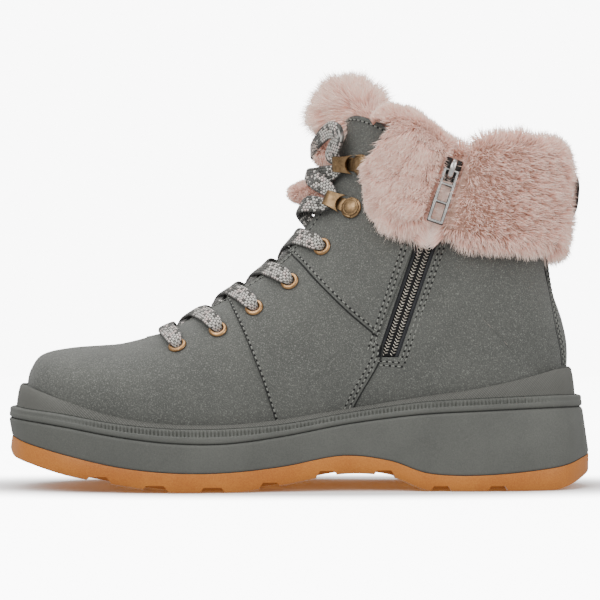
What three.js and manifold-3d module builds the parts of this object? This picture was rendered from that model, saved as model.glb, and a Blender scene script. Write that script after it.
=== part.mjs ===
// A right snow boot with a fur cuff, lace hooks and a side zip, in size EU 38.
// Millimetres. The toe points along -X, the medial side faces -Y and the boot stands on z = 0.
import * as THREE from "three";
import { mergeVertices } from "three/addons/utils/BufferGeometryUtils.js";
import Module from "manifold-3d";

const wasm = await Module();
wasm.setup();

// Driving sizes
const soleLength = 276;
const ballWidth = 103.6;
const stackHeight = 44;
const upperHeight = 170;
const wall = 2.4;
const gap = 0.3;

// Sole
const weltInset = 8.6;
const heelFlare = 3.3;
const toeTuck = 1.1;
const treadDepth = 2.8;
const treadPitch = 26.4;
const firstNotch = 45;
const notchCount = 8;
const notchMouth = 9.6;
const notchReach = 19;
const edgeRound = 2.4;
const ribDepth = 0.5;
const randFoot = 3.3;
const furPile = 12;
const laceWidth = 7.2;
const laceThickness = 1.5;
const insoleThickness = 3.5;

const V = (x, y, z) => new THREE.Vector3(x, y, z);

// A table with named columns: the header names them, and each row becomes an object.
const table = (header, ...rows) => {
  const names = header.split(" ");
  return rows.map((row) => Object.fromEntries(names.map((name, i) => [name, row[i]])));
};

const swapSides = (row) => ({ ...row, medial: row.lateral, lateral: row.medial });

// The value of every column between two rows, on a smooth curve through all of them.
function between(rows, place) {
  const last = rows.length - 3;
  const at = Math.min(Math.max(place, 0), last);
  const i = Math.min(Math.floor(at), last - 1);
  const f = at - i;
  const [a, b, c, d] = rows.slice(i, i + 4);
  const out = {};
  for (const name of Object.keys(b)) {
    const p = [a[name], b[name], c[name], d[name]];
    out[name] = 0.5 * (2 * p[1] + (p[2] - p[0]) * f
      + (2 * p[0] - 5 * p[1] + 4 * p[2] - p[3]) * f * f
      + (3 * p[1] - p[0] - 3 * p[2] + p[3]) * f * f * f);
  }
  return out;
}

// The sole's stations from toe to heel. along is a share of the sole's length, medial and lateral are shares
// of the ball width, and the rest are heights as shares of the stack height.
const soleTable = table(
  "along medial lateral under gum parting welt rand",
  [0.0, -0.068, -0.068, 0.345, 0.559, 0.764, 0.877, 1.12],
  [0.012, -0.227, 0.092, 0.336, 0.545, 0.759, 0.875, 1.109],
  [0.04, -0.347, 0.208, 0.291, 0.495, 0.741, 0.859, 1.068],
  [0.105, -0.447, 0.362, 0.182, 0.393, 0.686, 0.814, 0.945],
  [0.195, -0.488, 0.454, 0.08, 0.27, 0.586, 0.718, 0.795],
  [0.285, -0.498, 0.492, 0.005, 0.209, 0.52, 0.668, 0.723],
  [0.375, -0.471, 0.502, -0.014, 0.207, 0.511, 0.664, 0.705],
  [0.47, -0.42, 0.483, 0.066, 0.266, 0.584, 0.707, 0.757],
  [0.57, -0.386, 0.449, 0.182, 0.377, 0.702, 0.814, 0.859],
  [0.65, -0.377, 0.426, 0.155, 0.325, 0.773, 0.893, 0.939],
  [0.72, -0.378, 0.408, 0.0, 0.186, 0.818, 0.945, 1.007],
  [0.82, -0.382, 0.392, -0.01, 0.173, 0.85, 0.98, 1.1],
  [0.935, -0.316, 0.325, -0.01, 0.245, 0.875, 1.005, 1.255],
  [0.985, -0.164, 0.174, 0.036, 0.332, 0.873, 0.998, 1.289],
  [1.0, 0.005, 0.005, 0.055, 0.364, 0.868, 0.993, 1.295],
);
const soleRows = [swapSides(soleTable[1]), ...soleTable, swapSides(soleTable.at(-2))];
const heelRow = soleTable.length - 1;
const sampleStep = 3;

function sole(row) {
  const r = between(soleRows, row);
  return {
    x: (r.along - 0.5) * soleLength,
    medial: r.medial * ballWidth,
    lateral: r.lateral * ballWidth,
    under: Math.max(0, r.under * stackHeight),
    gum: r.gum * stackHeight,
    parting: r.parting * stackHeight,
    welt: r.welt * stackHeight,
    rand: r.rand * stackHeight,
    topInset: heelFlare * THREE.MathUtils.smoothstep(r.along, 0.72, 1),
    gumInset: toeTuck * (1 - THREE.MathUtils.smoothstep(r.along, 0, 0.25)),
  };
}

// The table row at turn, which runs from 0 at the toe along the medial side to 0.5 at the heel and back to 1.
const rowAt = (turn) => 2 * heelRow * (turn <= 0.5 ? turn : 1 - turn);

function onOutline(turn) {
  const t = ((turn % 1) + 1) % 1;
  const s = sole(rowAt(t));
  return [s.x, t <= 0.5 ? s.medial : s.lateral];
}

// A point on the sole's outline, moved inward by inset and set at height z.
function rim(turn, inset, z) {
  const step = 0.002;
  const [x, y] = onOutline(turn);
  const [ax, ay] = onOutline(turn - step);
  const [bx, by] = onOutline(turn + step);
  const length = Math.hypot(bx - ax, by - ay);
  return V(x - ((by - ay) / length) * inset, y + ((bx - ax) / length) * inset, z);
}

// A ring round the sole: inset and height are functions of the station.
function soleRing(inset, height, count = 2 * heelRow * sampleStep) {
  const ring = [];
  for (let i = 0; i < count; i++) {
    const turn = i / count;
    const s = sole(rowAt(turn));
    ring.push({ turn, point: rim(turn, inset(s, turn), height(s, turn)) });
  }
  return ring;
}

// Triangles between two rings that may have different numbers of points.
function bridge(a, b) {
  const out = [];
  const turnOf = (ring, i) => (i < ring.length ? ring[i].turn : 1);
  const pointOf = (ring, i) => ring[i % ring.length].point;
  for (let i = 0, j = 0; i < a.length || j < b.length; ) {
    const takeA = j >= b.length || (i < a.length && turnOf(a, i + 1) <= turnOf(b, j + 1));
    out.push(pointOf(a, i), pointOf(b, j), takeA ? pointOf(a, i + 1) : pointOf(b, j + 1));
    if (takeA) i++;
    else j++;
  }
  return out;
}

// Triangles across a ring, from each medial point to the lateral point opposite.
function across(ring, up) {
  const half = ring.length / 2;
  const out = [];
  for (let i = 0; i < half; i++) {
    const [m, n] = [ring[i].point, ring[i + 1].point];
    const [p, q] = [ring[(2 * half - i) % (2 * half)].point, ring[2 * half - i - 1].point];
    out.push(...(up ? [m, n, p, n, q, p] : [m, p, n, n, p, q]));
  }
  return out;
}

// A manifold solid from a closed list of triangles, three points each.
function solidFrom(points) {
  const position = new THREE.Float32BufferAttribute(points.flatMap((p) => [p.x, p.y, p.z]), 3);
  const merged = mergeVertices(new THREE.BufferGeometry().setAttribute("position", position), 1e-3);
  const corners = merged.index ? merged.index.array : Uint32Array.from({ length: points.length }, (_, i) => i);
  const kept = [];
  for (let i = 0; i < corners.length; i += 3) {
    const [a, b, c] = corners.slice(i, i + 3);
    if (a !== b && b !== c && c !== a) kept.push(a, b, c);
  }
  const vertProperties = merged.attributes.position.array;
  const made = (triVerts) => new wasm.Manifold(new wasm.Mesh({ numProp: 3, vertProperties, triVerts }));
  const first = made(Uint32Array.from(kept));
  if (first.volume() > 0) return first;
  for (let i = 0; i < kept.length; i += 3) [kept[i], kept[i + 1]] = [kept[i + 1], kept[i]];
  return made(Uint32Array.from(kept));
}

// A closed solid through rings, with the first and last ring filled across.
function stack(rings) {
  const out = across(rings[0], false);
  for (let k = 0; k + 1 < rings.length; k++) out.push(...bridge(rings[k + 1], rings[k]));
  out.push(...across(rings.at(-1), true));
  return solidFrom(out);
}

// A closed band through rings, the last joined to the first.
function band(rings) {
  return solidFrom(rings.flatMap((ring, k) => bridge(rings[(k + 1) % rings.length], ring)));
}

function solidOf(geometry) {
  const flat = geometry.index ? geometry.toNonIndexed() : geometry;
  const position = flat.getAttribute("position");
  const points = [];
  for (let i = 0; i < position.count; i++) points.push(V().fromBufferAttribute(position, i));
  return solidFrom(points);
}


// A body between two flat outlines, or an outline in a plane pushed along its third axis.
function extrude(points, depth) {
  const shape = new THREE.Shape(points.map(([a, b]) => new THREE.Vector2(a, b)));
  return new THREE.ExtrudeGeometry(shape, { depth, bevelEnabled: false });
}

// A prism seen from the side: points are [x, z], from near to far along y.
function sidePrism(points, near, far) {
  const made = extrude(points, far - near);
  made.rotateX(Math.PI / 2);
  made.translate(0, far, 0);
  return solidOf(made);
}

// A prism seen from above: points are [x, y], from low to high.
function planPrism(points, low, high) {
  const made = extrude(points, high - low);
  made.translate(0, 0, low);
  return solidOf(made);
}

// Upper: a fan of sections from the toe, over the instep and up the shaft. Each runs from a ridge point on the
// front line to a foot point, on the sole at first and then on the back line. Lengths are shares:
// x of the sole's length, z of the upper's height, widths of the ball width.
const fanTable = table(
  "ridgeX ridgeZ footX footZ medial lateral widest round tuck",
  [-0.4692, 0.294, 0, 0, -0.067, -0.067, 0.5, 2.2, 2.6],
  [-0.4623, 0.332, 0, 0, -0.207, 0.073, 0.62, 2.2, 2.6],
  [-0.442, 0.372, 0, 0, -0.303, 0.172, 0.62, 2.25, 2.6],
  [-0.3913, 0.39, 0, 0, -0.397, 0.32, 0.62, 2.25, 2.6],
  [-0.3043, 0.402, 0, 0, -0.444, 0.412, 0.64, 2.2, 2.6],
  [-0.2264, 0.442, 0, 0, -0.457, 0.443, 0.66, 2.1, 2.6],
  [-0.156, 0.514, 0, 0, -0.428, 0.446, 0.68, 2.05, 2.6],
  [-0.09, 0.584, 0, 0, -0.372, 0.422, 0.68, 2.05, 2.6],
  [-0.0337, 0.658, 0, 0, -0.348, 0.388, 0.66, 2.05, 2.6],
  [-0.0018, 0.717, 0, 0, -0.34, 0.365, 0.64, 2.1, 2.6],
  [0.0178, 0.764, 0, 0, -0.336, 0.35, 0.62, 2.15, 2.6],
  [0.0351, 0.814, 0, 0, -0.333, 0.341, 0.6, 2.2, 2.0],
  [0.0482, 0.861, 0, 0, -0.331, 0.336, 0.56, 2.25, 1.5],
  [0.0538, 0.884, 0, 0, -0.33, 0.334, 0.52, 2.3, 1.8],
  [0.0572, 0.902, 0, 0, -0.33, 0.333, 0.5, 2.3, 2.1],
  [0.0598, 0.919, 0.4625, 0.375, -0.331, 0.333, 0.48, 2.3, 2.2],
  [0.062, 0.936, 0.4545, 0.459, -0.334, 0.335, 0.47, 2.3, 2.25],
  [0.0638, 0.953, 0.4365, 0.547, -0.337, 0.338, 0.46, 2.3, 2.3],
  [0.0654, 0.971, 0.431, 0.626, -0.342, 0.342, 0.46, 2.3, 2.3],
  [0.067, 0.995, 0.434, 0.741, -0.348, 0.348, 0.46, 2.3, 2.3],
  [0.0685, 1.03, 0.4377, 0.865, -0.355, 0.355, 0.46, 2.3, 2.3],
  [0.07, 1.07, 0.441, 0.985, -0.36, 0.36, 0.46, 2.3, 2.3],
  [0.072, 1.14, 0.444, 1.1, -0.362, 0.362, 0.46, 2.3, 2.3],
);
const fanRows = fanTable.map((r, i) => {
  const row = {
    ridgeX: r.ridgeX * soleLength,
    ridgeZ: r.ridgeZ * upperHeight,
    medial: r.medial * ballWidth,
    lateral: r.lateral * ballWidth,
    widest: r.widest,
    round: r.round,
    tuck: r.tuck,
  };
  if (i > heelRow) {
    return { ...row, footX: r.footX * soleLength, footZ: r.footZ * upperHeight, footMedial: 0, footLateral: 0 };
  }
  const s = sole(i);
  const turn = i / (2 * heelRow);
  const near = rim(turn, weltInset + s.topInset, 0);
  const far = rim(1 - turn, weltInset + s.topInset, 0);
  return { ...row, footX: (near.x + far.x) / 2, footZ: s.parting + 5 * gap, footMedial: near.y, footLateral: far.y };
});
const turned = (row) => ({
  ...row,
  medial: row.lateral,
  lateral: row.medial,
  footMedial: row.footLateral,
  footLateral: row.footMedial,
});
const lastFan = fanRows.length - 1;
const beyond = (a, b) => Object.fromEntries(Object.keys(a).map((name) => [name, 2 * b[name] - a[name]]));
const fanSpline = [turned(fanRows[1]), ...fanRows, beyond(fanRows[lastFan - 1], fanRows[lastFan])];
const fan = (row) => between(fanSpline, row);

const power = (value, share) => Math.max(value, 0) ** share;

// A point of the skin. around runs from -1 at the medial foot over 0 at the ridge to 1 at the lateral foot.
function skinPoint(row, around) {
  const f = fan(row);
  const side = Math.abs(around);
  const middle = (f.medial + f.lateral) / 2;
  const wide = around < 0 ? f.medial : f.lateral;
  const foot = around < 0 ? f.footMedial : f.footLateral;
  let share = 0;
  let y = middle;
  if (side <= 0.5) {
    const angle = side * Math.PI;
    share = f.widest * (1 - power(Math.cos(angle), 2 / f.round));
    y = middle + (wide - middle) * power(Math.sin(angle), 2 / f.round);
  } else {
    const angle = (side - 0.5) * Math.PI;
    const down = power(Math.sin(angle), 2 / f.tuck);
    const round = power(Math.cos(angle), 2 / f.tuck);
    const straight = 1 - down ** 2.2;
    const heel = THREE.MathUtils.smoothstep(row, heelRow - 3.5, heelRow - 1);
    share = f.widest + (1 - f.widest) * down;
    y = foot + (wide - foot) * (straight + (round - straight) * heel);
  }
  return V(f.ridgeX + (f.footX - f.ridgeX) * share, y, f.ridgeZ + (f.footZ - f.ridgeZ) * share);
}

function skinNormal(row, around) {
  const step = 0.02;
  const a = Math.min(Math.max(around, -0.985), 0.985);
  const r = Math.min(Math.max(row, 0.04), lastFan - step);
  const along = skinPoint(r + step, a).sub(skinPoint(r - step, a));
  const across = skinPoint(r, a + step / 2).sub(skinPoint(r, a - step / 2));
  return along.cross(across).normalize();
}

// The outward direction in plan at the foot, on the side of around.
function footNormal(row, side) {
  const step = 0.02;
  const r = Math.min(Math.max(row, 0.04), heelRow - step);
  const along = skinPoint(r + step, side).sub(skinPoint(r - step, side));
  return V(along.y, -along.x, 0).multiplyScalar(-side).normalize();
}

// The skin moved out by offset, with its foot lowered by drop, as a closed solid.
function form(offset, drop, rowsList, turns) {
  const rings = rowsList.map((row) => turns.map((turn) => {
    const closing = row === 0 || (row >= heelRow && Math.abs(turn) === 1);
    const around = closing ? -Math.abs(turn) : turn;
    const foot = Math.abs(turn) === 1 && row > 0 && row < heelRow;
    const normal = foot ? footNormal(row, turn) : skinNormal(row, around);
    const p = skinPoint(row, around).addScaledVector(normal, offset);
    if (row <= heelRow && Math.abs(around) === 1) p.z = fan(row).footZ - drop;
    if (closing) p.y = row === 0 ? fan(0).medial : 0;
    return p;
  }));
  const count = turns.length;
  const out = [];
  for (let k = 0; k + 1 < rings.length; k++) {
    for (let i = 0; i < count; i++) {
      const [a, b] = [rings[k][i], rings[k][(i + 1) % count]];
      const [c, d] = [rings[k + 1][i], rings[k + 1][(i + 1) % count]];
      out.push(a, b, c, b, d, c);
    }
  }
  const top = rings.at(-1);
  for (let i = 0, j = count - 1; i < j; i++, j--) {
    out.push(top[i], top[i + 1], top[j], top[i + 1], top[j - 1], top[j]);
  }
  return solidFrom(out);
}

const steps = (from, to, count) => Array.from({ length: count + 1 }, (_, i) => from + ((to - from) * i) / count);
const fineRows = [0, 0.35, 0.7, 1, 1.5, 2, 2.5, ...steps(3, 14, 18), ...steps(15, lastFan, lastFan - 15)];
const coarseRows = [0, 0.5, 1, 2, ...steps(3, lastFan, lastFan - 3)];
const fineTurns = steps(-1, 1, 20);
const coarseTurns = steps(-1, 1, 18);

// Where the line from a place seen from the side meets the skin: the row and the turn on that side.
function skinAt(x, z, side) {
  let low = 0;
  let high = lastFan;
  const turnAt = (row) => {
    const f = fan(row);
    return (f.footX - f.ridgeX) * (z - f.ridgeZ) - (f.footZ - f.ridgeZ) * (x - f.ridgeX);
  };
  for (let i = 0; i < 30; i++) {
    const row = (low + high) / 2;
    if (turnAt(row) < 0) high = row;
    else low = row;
  }
  const row = (low + high) / 2;
  const f = fan(row);
  const share = Math.hypot(x - f.ridgeX, z - f.ridgeZ) / Math.hypot(f.footX - f.ridgeX, f.footZ - f.ridgeZ);
  const s = Math.min(Math.max(share, 0), 1);
  if (s <= f.widest) return [row, (side * Math.acos((1 - s / f.widest) ** (f.round / 2))) / Math.PI];
  return [row, side * (0.5 + Math.asin(((s - f.widest) / (1 - f.widest)) ** (f.tuck / 2)) / Math.PI)];
}

// Panels, seen from the side: x as shares of the sole's length and z of the upper's height.
const sideView = (rows) => rows.map((r) => [r.x * soleLength, r.z * upperHeight]);
const middlePanel = sideView(table(
  "x z",
  [-0.134, 0.58], [-0.1254, 0.5335], [-0.116, 0.508], [-0.0942, 0.435], [-0.0768, 0.366], [-0.0616, 0.302],
  [-0.029, 0.14], [0.076, 0.14], [0.089, 0.227], [0.1293, 0.344], [0.1377, 0.388], [0.2029, 0.694],
  [0.261, 1.25], [-0.1, 1.25],
));
const shaftPanel = sideView(table(
  "x z",
  [-0.03, 0.69], [-0.0217, 0.665], [0.0055, 0.62], [0.0326, 0.57], [0.08, 0.494], [0.131, 0.424],
  [0.2029, 0.72], [0.268, 1.25], [-0.1, 1.25],
));
const collarLine = sideView(table(
  "x z",
  [0.069, 1.005], [0.082, 1.026], [0.1, 1.03], [0.136, 1.005], [0.18, 0.955], [0.23, 0.915], [0.3, 0.9],
  [0.46, 0.905],
));
const middleRise = 0.9;
const shaftRise = 1.8;
const throatHalf = 13;
const throatStart = -71.5;
const throatDepth = 34;
const tongueThickness = 4;
const tongueSide = 8;

const panelPrism = (points, spread) => {
  const shifted = (by) => sidePrism(points.map(([x, z]) => [x + by, z]), -90, 90);
  return spread > 0 ? shifted(-spread).add(shifted(spread)) : shifted(0);
};
const grow = (offset) => {
  const body = form(offset, 0, fineRows, fineTurns);
  const middle = form(offset + middleRise, 0, fineRows, fineTurns).intersect(panelPrism(middlePanel, offset));
  const shaft = form(offset + shaftRise, 0, fineRows, fineTurns).intersect(panelPrism(shaftPanel, offset));
  return body.add(middle).add(shaft);
};
const shrink = (offset) => form(-offset, 6, coarseRows, coarseTurns);

// The throat's outline from above, with a round start over the toes.
const throatPlan = (half, start, end) => {
  const points = steps(0, 8, 8).map((i) => {
    const angle = (i / 8 - 0.5) * Math.PI;
    return [start + half * (1 - Math.cos(angle)), half * Math.sin(angle)];
  });
  return [...points, [end, half + 1.5], [end, -half - 1.5]];
};
const throat = planPrism(throatPlan(throatHalf, throatStart, throatDepth), 55, 300);
const aboveCollar = (rise) => {
  const line = collarLine.map(([x, z]) => [x, z + rise]);
  return sidePrism([[-90, line[0][1] - 4], ...line, [190, line.at(-1)[1]], [190, 330], [-90, 330]], -90, 90);
};

// Zip, on the medial side: a line that leans back as it climbs.
const zipFootX = 40.7;
const zipFootZ = 62.2;
const zipTop = 153;
const zipLean = 0.34;
const zipSlotHalf = 4.9;
const zipTeethHalf = 3.1;
const tapeThickness = 1;
const tapeHalf = 9;
const zipX = (z) => zipFootX + zipLean * (z - zipFootZ);
const zipPrism = (half, low, high) => {
  const w = half * Math.hypot(1, zipLean);
  const points = [[zipX(low) - w, low], [zipX(low) + w, low], [zipX(high) + w, high], [zipX(high) - w, high]];
  return sidePrism(points, -90, -8);
};

// Eyelets and hooks. Places as shares, rise is the panel they sit on.
const holeTable = table(
  "x z rise",
  [-0.2065, 0.397, 0], [-0.1384, 0.441, 0], [-0.0768, 0.4976, middleRise], [-0.0163, 0.5706, middleRise],
  [0.0402, 0.6653, shaftRise],
);
const hookTable = table("lipX lipZ rivetX rivetZ", [0.0431, 0.8024, 0.0899, 0.7735], [0.0554, 0.9153, 0.1083, 0.8953]);
const eyeletHole = 2.2;
const barrelWall = 0.4;
const flangeRadius = 4.4;
const flangeHeight = 1.3;
const hookWidth = 7;
const hookStock = 0.9;
const hookGap = 2.2;
const rivetRadius = 4;
const rivetHeight = 2.2;

// A frame on the skin: its place, its outward normal, and a direction along the skin towards another place.
function frameAt(x, z, side, rise, toward) {
  const [row, around] = skinAt(x, z, side);
  const normal = skinNormal(row, around);
  const place = skinPoint(row, around).addScaledVector(normal, rise);
  const aim = skinPoint(...skinAt(toward[0], toward[1], side)).sub(place);
  const along = aim.addScaledVector(normal, -aim.dot(normal)).normalize();
  const cross = V().crossVectors(normal, along);
  return new THREE.Matrix4().makeBasis(along, cross, normal).setPosition(place);
}
const placed = (geometry, matrix) => solidOf(geometry.applyMatrix4(matrix));

const holes = [-1, 1].flatMap((side) => holeTable.map((h, i) => {
  const [x, z] = [h.x * soleLength, h.z * upperHeight];
  return { side, i, rise: h.rise, x, z, matrix: frameAt(x, z, side, h.rise, [x - 5, z + 5]) };
}));
const hooks = [-1, 1].flatMap((side) => hookTable.map((h, i) => {
  const lip = [h.lipX * soleLength, h.lipZ * upperHeight];
  const rivet = [h.rivetX * soleLength, h.rivetZ * upperHeight];
  return { side, i, lip, rivet, matrix: frameAt(...rivet, side, shaftRise, lip) };
}));

const boreOf = (hole) => placed(
  new THREE.CylinderGeometry(eyeletHole + barrelWall + gap, eyeletHole + barrelWall + gap, 16, 12)
    .rotateX(Math.PI / 2),
  hole.matrix,
);

const skin = grow(0);
const cavity = shrink(wall);
let upper = skin.subtract(cavity).subtract(throat).subtract(aboveCollar(0));
upper = upper.subtract(zipPrism(zipSlotHalf, zipFootZ, 300));
for (const hole of holes) upper = upper.subtract(boreOf(hole));

// The band that other pieces keep clear of: the upper with the gap all round it.
const clearOfUpper = grow(gap).subtract(shrink(wall + gap)).subtract(aboveCollar(gap));

const tonguePlan = planPrism(throatPlan(throatHalf + tongueSide, throatStart - tongueSide, 46), 50, 300);
const tongueTop = 1.06 * upperHeight;
const belowTongueTop = sidePrism([[-110, 40], [90, 40], [90, tongueTop], [-110, tongueTop]], -90, 90);
const tongue = shrink(wall + gap).subtract(shrink(wall + gap + tongueThickness))
  .intersect(tonguePlan).intersect(belowTongueTop);

// Sole pieces
const outsoleBlock = stack([
  soleRing((s) => 1.6, (s) => s.under),
  soleRing((s) => 0.35, (s) => s.under + edgeRound / 2),
  soleRing((s) => s.gumInset, (s) => s.gum),
]);
const notches = steps(0, notchCount - 1, notchCount - 1).flatMap((i) => [-1, 1].map((side) => {
  const x = -soleLength / 2 + firstNotch + i * treadPitch;
  const s = sole(rowNear(x));
  const edge = side < 0 ? s.medial : s.lateral;
  const foot = s.under;
  const half = notchMouth / 2;
  const profile = [[x - half, -9], [x + half, -9], [x + half, foot], [x + half * 0.72, foot + treadDepth],
    [x - half * 0.72, foot + treadDepth], [x - half, foot]];
  const ends = [edge + side * 8, edge - side * notchReach];
  return sidePrism(profile, Math.min(...ends), Math.max(...ends));
}));
function rowNear(x) {
  let low = 0;
  let high = heelRow;
  for (let i = 0; i < 30; i++) {
    const row = (low + high) / 2;
    if (sole(row).x < x) low = row;
    else high = row;
  }
  return (low + high) / 2;
}
let outsole = outsoleBlock;
for (const notch of notches) outsole = outsole.subtract(notch);

const midsole = stack([
  soleRing((s) => s.gumInset + 0.5, (s) => s.gum + gap),
  soleRing((s) => s.gumInset * 0.8 + s.topInset * 0.1, (s) => s.gum + gap + 1.2),
  soleRing((s) => s.topInset * 0.85, (s) => s.parting - 1),
  soleRing((s) => s.topInset + 0.5, (s) => s.parting),
]);

const ribbed = [];
const ribCount = 104;
for (let i = 0; i < 2 * ribCount; i++) {
  const turn = i / (2 * ribCount);
  const s = sole(rowAt(turn));
  const fade = THREE.MathUtils.smoothstep(s.x, -soleLength * 0.42, -soleLength * 0.3)
    * (1 - THREE.MathUtils.smoothstep(s.x, soleLength * 0.36, soleLength * 0.46));
  ribbed.push({ turn, s, depth: i % 2 ? ribDepth * fade : 0 });
}
const ribRing = (inset, height) => ribbed.map((r) => ({
  turn: r.turn,
  point: rim(r.turn, r.s.topInset + inset + r.depth, height(r.s)),
}));
const weltMiddle = (s) => (s.parting + s.welt) / 2;
const innerEdge = (s) => weltInset + s.topInset + 3;
const weltInner = (s) => weltInset + s.topInset - 3.7;
const welt = band([
  soleRing((s) => s.topInset + 0.5, (s) => s.parting + gap),
  soleRing((s) => s.topInset, (s) => s.parting + gap + 0.6),
  soleRing((s) => s.topInset, (s) => weltMiddle(s)),
  ribRing(0.5, (s) => weltMiddle(s) + 0.2),
  ribRing(0.6, (s) => s.welt - 0.5),
  soleRing((s) => s.topInset + 1.4, (s) => s.welt),
  soleRing(weltInner, (s) => s.welt),
  soleRing(weltInner, (s) => s.parting + gap),
]);

const randCount = 2 * heelRow * 2;
const randBand = band([
  soleRing((s) => s.topInset + randFoot, (s) => s.welt + gap, randCount),
  soleRing((s) => s.topInset + randFoot + 0.6, (s) => s.welt + gap + (s.rand - s.welt) * 0.5, randCount),
  soleRing((s) => s.topInset + randFoot + 2.1, (s) => s.rand - 0.8, randCount),
  soleRing((s) => s.topInset + randFoot + 3.3, (s) => s.rand, randCount),
  soleRing((s) => innerEdge(s) + 5, (s) => s.rand, randCount),
  soleRing((s) => innerEdge(s) + 5, (s) => s.welt + gap, randCount),
]);
const rand = randBand.subtract(grow(gap * 2)).subtract(grow(gap * 0.6));

const insoleInset = (s) => weltInset + s.topInset + wall + 5 * gap;
const insole = stack([
  soleRing(insoleInset, (s) => s.parting + 2 * gap),
  soleRing(insoleInset, (s) => s.parting + 2 * gap + insoleThickness),
]);


// Fur, laid round the shaft by angle: 0 at the front, 90 on the medial side, 180 at the back.
const shaftX = 0.2536 * soleLength;
const radians = THREE.MathUtils.degToRad;

function within(x, y, z) {
  const side = y < 0 ? -1 : 1;
  const [row, around] = skinAt(x, z, side);
  const f = fan(row);
  const [dx, dz] = [f.footX - f.ridgeX, f.footZ - f.ridgeZ];
  const share = ((x - f.ridgeX) * dx + (z - f.ridgeZ) * dz) / (dx * dx + dz * dz);
  return share > 0 && share < 1 && Math.abs(y) < Math.abs(skinPoint(row, around).y);
}

// How far the skin stands from the shaft's middle line, at an angle and a height.
function girth(angle, z) {
  let low = 5;
  let high = 95;
  for (let i = 0; i < 16; i++) {
    const r = (low + high) / 2;
    if (within(shaftX - r * Math.cos(angle), -r * Math.sin(angle), z)) low = r;
    else high = r;
  }
  return low;
}

function aroundShaft(degrees, out, z) {
  const angle = radians(degrees);
  const r = girth(angle, z) + out;
  return V(shaftX - r * Math.cos(angle), -r * Math.sin(angle), z);
}

// A closed solid through open-ended rings of points, with both ends filled.
function loft(rings) {
  const count = rings[0].length;
  const out = [];
  for (let k = 0; k + 1 < rings.length; k++) {
    for (let i = 0; i < count; i++) {
      const [a, b] = [rings[k][i], rings[k][(i + 1) % count]];
      const [c, d] = [rings[k + 1][i], rings[k + 1][(i + 1) % count]];
      out.push(a, c, b, b, c, d);
    }
  }
  for (const [ring, first] of [[rings[0], true], [rings.at(-1), false]]) {
    const middle = ring.reduce((sum, p) => sum.add(p), V()).multiplyScalar(1 / count);
    for (let i = 0; i < count; i++) {
      const [a, b] = [ring[i], ring[(i + 1) % count]];
      out.push(...(first ? [middle, a, b] : [middle, b, a]));
    }
  }
  return solidFrom(out);
}

// The fur cuff's section: out is a share of the pile, up a share of the cuff's height at that angle.
const cuffSection = table(
  "out up lock",
  [-0.12, 0.03, 0], [0.5, 0, 0.4], [0.86, 0.1, 1], [0.98, 0.3, 1], [0.97, 0.55, 1], [0.88, 0.78, 1],
  [0.55, 0.95, 0.8], [0.08, 1, 0.6], [-0.4, 0.96, 0.4], [-0.66, 0.82, 0], [-0.68, 0.6, 0], [-0.42, 0.5, 0],
  [-0.12, 0.56, 0],
);
const cuffTable = table(
  "angle low high thick",
  [34, 0.8, 0.93, 0.25], [40, 0.745, 1.02, 0.66], [50, 0.71, 1.075, 0.95], [62, 0.695, 1.065, 1.02],
  [76, 0.69, 1.03, 0.98], [90, 0.68, 0.975, 0.9], [102, 0.65, 0.96, 1], [122, 0.64, 0.975, 1.04],
  [150, 0.635, 0.975, 0.98], [180, 0.63, 0.965, 0.9], [210, 0.635, 0.975, 0.98], [238, 0.64, 0.98, 1.02],
  [262, 0.66, 1, 1], [284, 0.68, 1.04, 0.98], [300, 0.7, 1.065, 1], [310, 0.71, 1.07, 0.92],
  [320, 0.745, 1.02, 0.66], [326, 0.8, 0.93, 0.25],
);
const cuffSpline = [
  beyond(cuffTable[1], cuffTable[0]), ...cuffTable, beyond(cuffTable.at(-2), cuffTable.at(-1)),
];
const lockDepth = 0.9;
function cuffBlock(from, to, count) {
  const rings = steps(from, to, count).map((place) => {
    const c = between(cuffSpline, place);
    return cuffSection.map((q, i) => {
      const lock = q.lock * lockDepth * Math.sin(radians(c.angle * 14) + i * 2.1) * c.thick;
      const z = (c.low + (c.high - c.low) * q.up) * upperHeight;
      const out = q.out > 0 ? q.out * c.thick * furPile + lock : q.out * furPile;
      return aroundShaft(c.angle, out, z);
    });
  });
  return loft(rings);
}
const zipGap = zipPrism(zipSlotHalf + gap, 60, 260);
const tapeRoom = zipPrism(tapeHalf + gap, 50, 260).intersect(shrink(wall));
const behindZip = sidePrism([[zipX(60), 60], [190, 60], [190, 260], [zipX(260), 260]], -90, 0);
const beforeZip = sidePrism([[-90, 60], [zipX(60), 60], [zipX(260), 260], [-90, 260]], -90, 0);
let furLobe = cuffBlock(0, 5.8, 12).subtract(zipGap).subtract(behindZip).subtract(tapeRoom).subtract(clearOfUpper);
let furCuff = cuffBlock(4.4, 17, 32).subtract(zipGap).subtract(beforeZip).subtract(tapeRoom).subtract(clearOfUpper);

// A flat strip along a path of places, each with the direction that its flat side faces.
function strip(path, width, thickness) {
  const rings = path.map(({ place, facing }, i) => {
    const ahead = path[Math.min(i + 1, path.length - 1)].place;
    const behind = path[Math.max(i - 1, 0)].place;
    const along = ahead.clone().sub(behind).normalize();
    const across = V().crossVectors(facing, along).normalize();
    const up = V().crossVectors(along, across);
    const corner = (a, b) => place.clone().addScaledVector(across, a * width).addScaledVector(up, b * thickness);
    return [corner(0.5, 0), corner(0.4, 0.5), corner(-0.4, 0.5), corner(-0.5, 0), corner(-0.4, -0.5),
      corner(0.4, -0.5)];
  });
  return loft(rings);
}

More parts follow.
